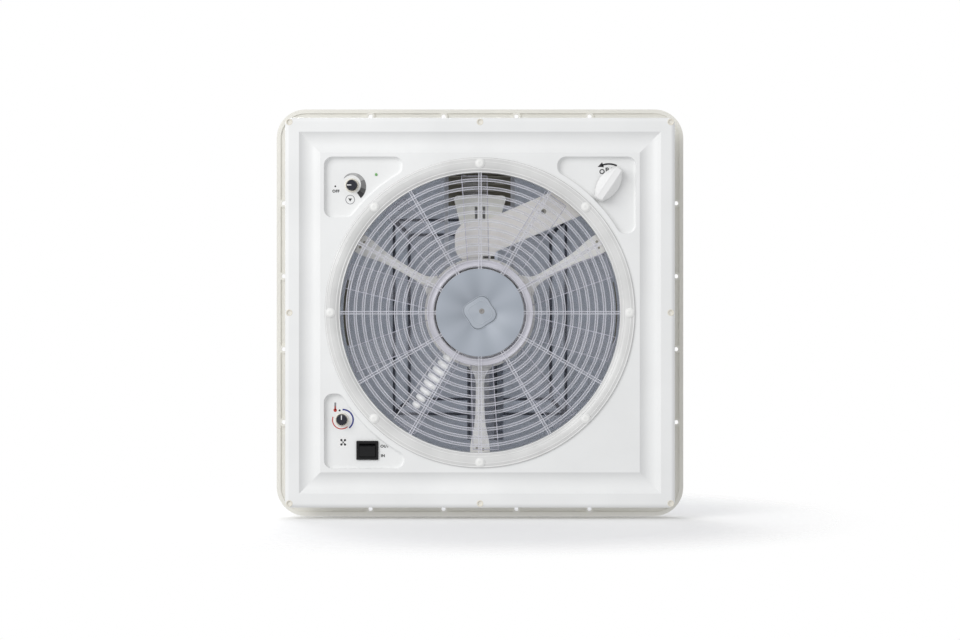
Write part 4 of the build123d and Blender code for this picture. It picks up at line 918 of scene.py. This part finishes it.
def makeGrip(s):
    steps = s["steps"]
    points, faces = [], [tuple(range(steps))]
    for layer in s["layers"]:
        points += gripOutline(s, *layer)
    for ring in range(len(s["layers"]) - 1):
        for i in range(steps):
            a, b = ring * steps + i, ring * steps + (i + 1) % steps
            faces.append((a, a + steps, b + steps, b))
    last = len(points) - steps
    faces.append(tuple(range(len(points) - 1, last - 1, -1)))
    piece = addMesh("crankGrip", points, faces, "handle", "crank")
    piece.modifiers.new("normals", "WEIGHTED_NORMAL")
    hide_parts("crank_handle")
    face = s["layers"][-1][-1] - s["rim"] * 0.2
    addTube("crankGripRim", [gripOutline(s, *s["strip"], face)], s["rim"], "handle", "crank", True)


makeGrip(grip)
print("marks done")


# Ledge in the flyscreen's cut-out, in painted shade, and the holes of the drive housing with
# painted shade in them
portLedge = {"x": (-0.0367, 0.0357), "y": (-0.2045, -0.1240), "z": (0.0300, 0.0318),
             "ribs": (-0.1585, -0.1500, -0.1420), "rib": 0.0016, "inset": 0.001,
             "edge": 0.0004,
             "sideX": ((-0.0367, -0.0205), (0.0205, 0.0357)), "sideY": (-0.1239, -0.0555),
             "sideZ": (0.0319, 0.0324)}
housingMarks = {"hole": (543.7, 211.5), "radius": 3.3, "face": 0.0032,
                "vents": ((483, 489, 256, 258.6), (490.5, 494.5, 256, 259)),
                "slots": (-0.0045, 0.0045), "slotY": (-0.1222, -0.1078), "slotHalf": 0.0015,
                "slotLevel": 0.0121, "bracketFace": 0.0123,
                "bracket": ((-0.0205, -0.0955), (-0.0300, -0.1310), (-0.0282, -0.1342),
                            (-0.0258, -0.1349), (0.0258, -0.1349), (0.0282, -0.1342),
                            (0.0300, -0.1310), (0.0185, -0.0955))}


def makePortLedge(s):
    (x0, x1), (y0, y1), (z0, z1) = s["x"], s["y"], s["z"]
    # painted shade: the dark olive ledge and its paler ribs stand in for the dome's inside in deep
    # shade
    softEdges(addFlat("portLedge", rectangle(x0, x1, y0, y1), z0, z1, "recess"), s["edge"])
    ribs = [plateMesh(rectangle(x0 + s["inset"], x1 - s["inset"], y, y + s["rib"]),
                      z0 - 0.0012, z0 + 0.0002) for y in s["ribs"]]
    addMesh("portLedgeRibs", *joinParts(ribs), "recessRib", smooth=False)
    sides = [plateMesh(rectangle(*wide, *s["sideY"]), *s["sideZ"]) for wide in s["sideX"]]
    addMesh("portSides", *joinParts(sides), "screen", smooth=False)


def makeHousingMarks(s):
    face, radius = s["face"], px(s["radius"])
    # the bracket's face: its own olive tint, darkened a little as painted shade
    addFlat("bracketFace", s["bracket"], s["bracketFace"], s["bracketFace"] + 0.0003, "bracket")
    centre = spot(*s["hole"], face)
    ring = [(radius * 0.8, face + 0.0002), (radius * 0.8, face - 0.0003),
            (radius, face - 0.0003), (radius * 1.15, face + 0.0002)]
    addMesh("housingHoleRim", *latheMesh(ring, 32, centre), "housing")
    # painted shade: the hole, its darker spot at one side, the vents and the bracket's slots are
    # dark plates for the shade inside them
    addFlat("housingHole", roundOutline(centre, radius * 0.82), face - 0.0001, face + 0.0002,
            "recessRib")
    addFlat("housingHoleShade", roundOutline((centre.x - px(1.1), centre.y), radius * 0.42, 20),
            face - 0.0002, face + 0.0001, "recessDark")
    vents = []
    for x0, x1, y0, y1 in s["vents"]:
        low, high = spot(x0, y0, face), spot(x1, y1, face)
        vents.append(plateMesh(rectangle(low.x, high.x, low.y, high.y), face - 0.0001,
                               face + 0.0002))
    addMesh("housingVents", *joinParts(vents), "recessDark", smooth=False)
    half, level = s["slotHalf"], s["slotLevel"]
    slots = [plateMesh(rectangle(x - half, x + half, *s["slotY"]), level, level + 0.0003)
             for x in s["slots"]]
    addMesh("bracketSlots", *joinParts(slots), "recessDark", smooth=False)


makePortLedge(portLedge)
makeHousingMarks(housingMarks)

# Three-armed support of the motor; each arm spreads towards the deck
support = {"ring": 0.0635, "bore": 0.0378, "first": 90, "arms": 3,
           "halves": ((0.0630, 0.0140), (0.0660, 0.0100), (0.0700, 0.0072), (0.0760, 0.0053),
                      (0.0850, 0.0047), (0.1050, 0.0050), (0.1200, 0.0056), (0.1300, 0.0068),
                      (0.1400, 0.0088), (0.1480, 0.0105), (0.1560, 0.0113), (0.1770, 0.0113)),
           "holes": ((0.1552, 0.0036), (0.1568, -0.0036)), "hole": 0.0015, "skin": 0.0002}


def nodeHeights(name):
    node = nodes[name]
    heights = [(node.matrix_world @ Vector(corner)).z for corner in node.bound_box]
    return min(heights), max(heights)


def makeSupport(s):
    low, high = nodeHeights("motor_support")
    body = [latheMesh(rectangle(s["bore"], s["ring"], low, high), 96)]
    holes = []
    outline = [(x, -half) for x, half in s["halves"]]
    outline += [(x, half) for x, half in reversed(s["halves"])]
    for i in range(s["arms"]):
        turn = math.radians(s["first"] + 360 / s["arms"] * i)
        body.append(turned(plateMesh(outline, low, high), turn))
        for place in s["holes"]:
            # painted shade: each hole is a dark disc for the shade seen through it
            dot = plateMesh(roundOutline(place, s["hole"], 20), low - s["skin"], low + s["skin"])
            holes.append(turned(dot, turn))
    piece = addMesh("supportSpider", *joinParts(body), "support", smooth=False)
    softEdges(piece, 0.0006)
    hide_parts("motor_support")
    addMesh("supportHoles", *joinParts(holes), "recessRib", smooth=False)


makeSupport(support)

# Dark shade of the duct's edge along both sides of the flyscreen
edgeShade = {"arcs": ((0.1540, 0.1585, 166, 194), (0.1578, 0.1592, -13, 13)), "thick": 0.0002}


def makeEdgeShade(s):
    low, _ = nodeHeights("flyscreen_mesh")
    arcs = [arcPlate((0, 0), inner, outer, start, end, low - s["thick"], low + s["thick"] / 2)
            for inner, outer, start, end in s["arcs"]]
    addMesh("edgeShade", *joinParts(arcs), "recess", smooth=False)


makeEdgeShade(edgeShade)

# Cream rims in the trim's eight screw holes
rims = {"row": 0.215, "outer": 0.0039, "inner": 0.0024, "plugLevel": 0.0012}


def makeTrimRims(s):
    rings, plugs = [], []
    row, face = s["row"], levels["trimFace"]
    places = [(x, y) for x in (-row, row) for y in (-row, row)]
    places += [(-row, 0), (row, 0), (0, -row), (0, row)]
    for centre in places:
        profile = [(s["inner"], face + 0.0004), (s["inner"] + 0.0003, face - 0.0001),
                   (s["outer"] - 0.0003, face - 0.0001), (s["outer"], face + 0.0002),
                   (s["outer"], face + 0.0014), (s["inner"], face + 0.0014)]
        rings.append(latheMesh(profile, 32, centre))
        plugs.append(plateMesh(roundOutline(centre, s["inner"] + 0.0001, 24),
                               face + s["plugLevel"], face + s["plugLevel"] + 0.0006))
    addMesh("trimHoleRims", *joinParts(rings), "cream")
    addMesh("trimHolePlugs", *joinParts(plugs), "plug", smooth=False)


makeTrimRims(rims)

# Painted shade: dark lines for the shadows along the steps of a raised square inside the dome
domeLines = {"outer": (-0.1015, 0.1015, -0.1095, 0.1195),
             "inner": (-0.0835, 0.0835, -0.092, 0.102),
             "corner": 0.005, "width": 0.0032, "stroke": 0.0044, "drop": 0.0006,
             "strokeDrop": 0.0016, "shares": (0.12, 0.3, 0.5, 0.7, 0.9), "below": 0.045}


def roundedLoop(box, corner, steps=6):
    x0, x1, y0, y1 = box
    route = []
    for cx, cy, start in ((x1 - corner, y1 - corner, 0), (x0 + corner, y1 - corner, 90),
                          (x0 + corner, y0 + corner, 180), (x1 - corner, y0 + corner, 270)):
        route += [around(corner, math.radians(start + 90 * i / steps), (cx, cy))
                  for i in range(steps + 1)]
    return route


def underDome(x, y, drop):
    # just below the dome's inner face at this place
    shell = nodes["dome"]
    toShell = shell.matrix_world.inverted()
    start = toShell @ Vector((x, y, domeLines["below"]))
    _, place, _, _ = shell.ray_cast(start, Vector((0, 0, 1)))
    return (x, y, (shell.matrix_world @ place).z - drop)


def makeDomeLines(s):
    for key in ("outer", "inner"):
        route = [underDome(x, y, s["drop"]) for x, y in roundedLoop(s[key], s["corner"])]
        addTube("domeLine" + key.capitalize(), [route], s["width"] / 2, "domeMark", "lid", True)
    strokes = []
    for i, j in ((0, 2), (1, 2), (0, 3), (1, 3)):
        x0, y0, x1, y1 = [s[key][k] for key in ("outer", "inner") for k in (i, j)]
        strokes.append([underDome(x0 + (x1 - x0) * share, y0 + (y1 - y0) * share, s["strokeDrop"])
                        for share in s["shares"]])
    addTube("domeCorners", strokes, s["stroke"] / 2, "domeMark", "lid")


makeDomeLines(domeLines)

# Painted shade: dark strips for the shaded walls of the rail under the dome
railStrips = {"y": (0.048, 0.149), "left": (-0.0150, -0.0113, 0.0724),
              "right": (0.0166, 0.0200, 0.0614),
              "ticks": (0.0200, 0.0268, 0.0724), "tickRows": (0.1340, 0.1398), "tick": 0.0013,
              "half": 0.0004}


def makeRailStrips(s):
    strips = [(s["left"], s["y"]), (s["right"], s["y"])]
    strips += [(s["ticks"], (y, y + s["tick"])) for y in s["tickRows"]]
    parts = [plateMesh(rectangle(x0, x1, *rows), level - s["half"], level + s["half"])
             for (x0, x1, level), rows in strips]
    addMesh("railStrips", *joinParts(parts), "domeMark", "lid", False)


makeRailStrips(railStrips)
print("dome done")


# Light: a key from the upper left of the view, a soft top lamp for the dome
lamps = {
    "key": {"place": (-1.70, -1.15, -2.00), "power": 39, "size": 1.8},
    "sky": {"place": (-0.6, -0.8, 1.7), "power": 22, "size": 1.6},
}


def addLamps(settings):
    for name, s in settings.items():
        data = bpy.data.lights.new(name + "Lamp", "AREA")
        data.energy = s["power"]
        data.size = s["size"]
        lamp = newObject(name + "Lamp", data)
        lamp.location = s["place"]
        lamp.rotation_euler = Vector(s["place"]).to_track_quat("Z", "Y").to_euler()


def addWorld(strength):
    world = bpy.data.worlds.new("studio")
    world.use_nodes = True
    bpy.context.scene.world = world
    tree = world.node_tree
    tree.nodes.clear()
    path = tree.nodes.new("ShaderNodeLightPath")
    seen = path.outputs["Is Camera Ray"]
    for kind in ("Is Glossy Ray", "Is Transmission Ray"):
        seen = mathOf(tree, "MAXIMUM", seen, path.outputs[kind])
    lit = tree.nodes.new("ShaderNodeBackground")
    lit.inputs["Color"].default_value = (0.98, 0.985, 1.0, 1)
    lit.inputs["Strength"].default_value = strength
    white = tree.nodes.new("ShaderNodeBackground")
    white.inputs["Color"].default_value = (1, 1, 1, 1)
    mixSurface(tree, seen, lit.outputs["Background"], white.outputs["Background"],
               tree.nodes.new("ShaderNodeOutputWorld"))


# The vent stands on the edge of its flange, so the floor lies along +Y
floor = {"level": 0.2336, "reach": 1.6, "fade": (0.36, 0.52)}


def addFloor(s):
    reach, level = s["reach"], s["level"]
    mesh = bpy.data.meshes.new("floor")
    mesh.from_pydata([(-reach, level, -reach), (reach, level, -reach), (reach, level, reach),
                      (-reach, level, reach)], [], [(0, 1, 2, 3)])
    piece = newObject("floor", mesh)
    material, tree, shader = newMaterial("floorPaper")
    shader.inputs["Base Color"].default_value = (0.96, 0.96, 0.96, 1)
    shader.inputs["Roughness"].default_value = 0.9
    length = tree.nodes.new("ShaderNodeVectorMath")
    length.operation = "LENGTH"
    tree.links.new(objectCoords(tree), length.inputs[0])
    fade = rangeOf(tree, length.outputs["Value"], s["fade"], "From")
    fade.node.interpolation_type = "SMOOTHSTEP"
    back = tree.nodes.new("ShaderNodeNewGeometry")
    gone = mathOf(tree, "MAXIMUM", fade, back.outputs["Backfacing"])
    clear = tree.nodes.new("ShaderNodeBsdfTransparent")
    mixSurface(tree, gone, shader.outputs["BSDF"], clear.outputs["BSDF"],
               tree.nodes["Material Output"])
    mesh.materials.append(material)
    piece.visible_diffuse = False
    piece.visible_glossy = False
    piece.visible_shadow = False


addLamps(lamps)
addWorld(0.65)
addFloor(floor)
bpy.context.scene.view_settings.view_transform = "Standard"
print("light and floor done")
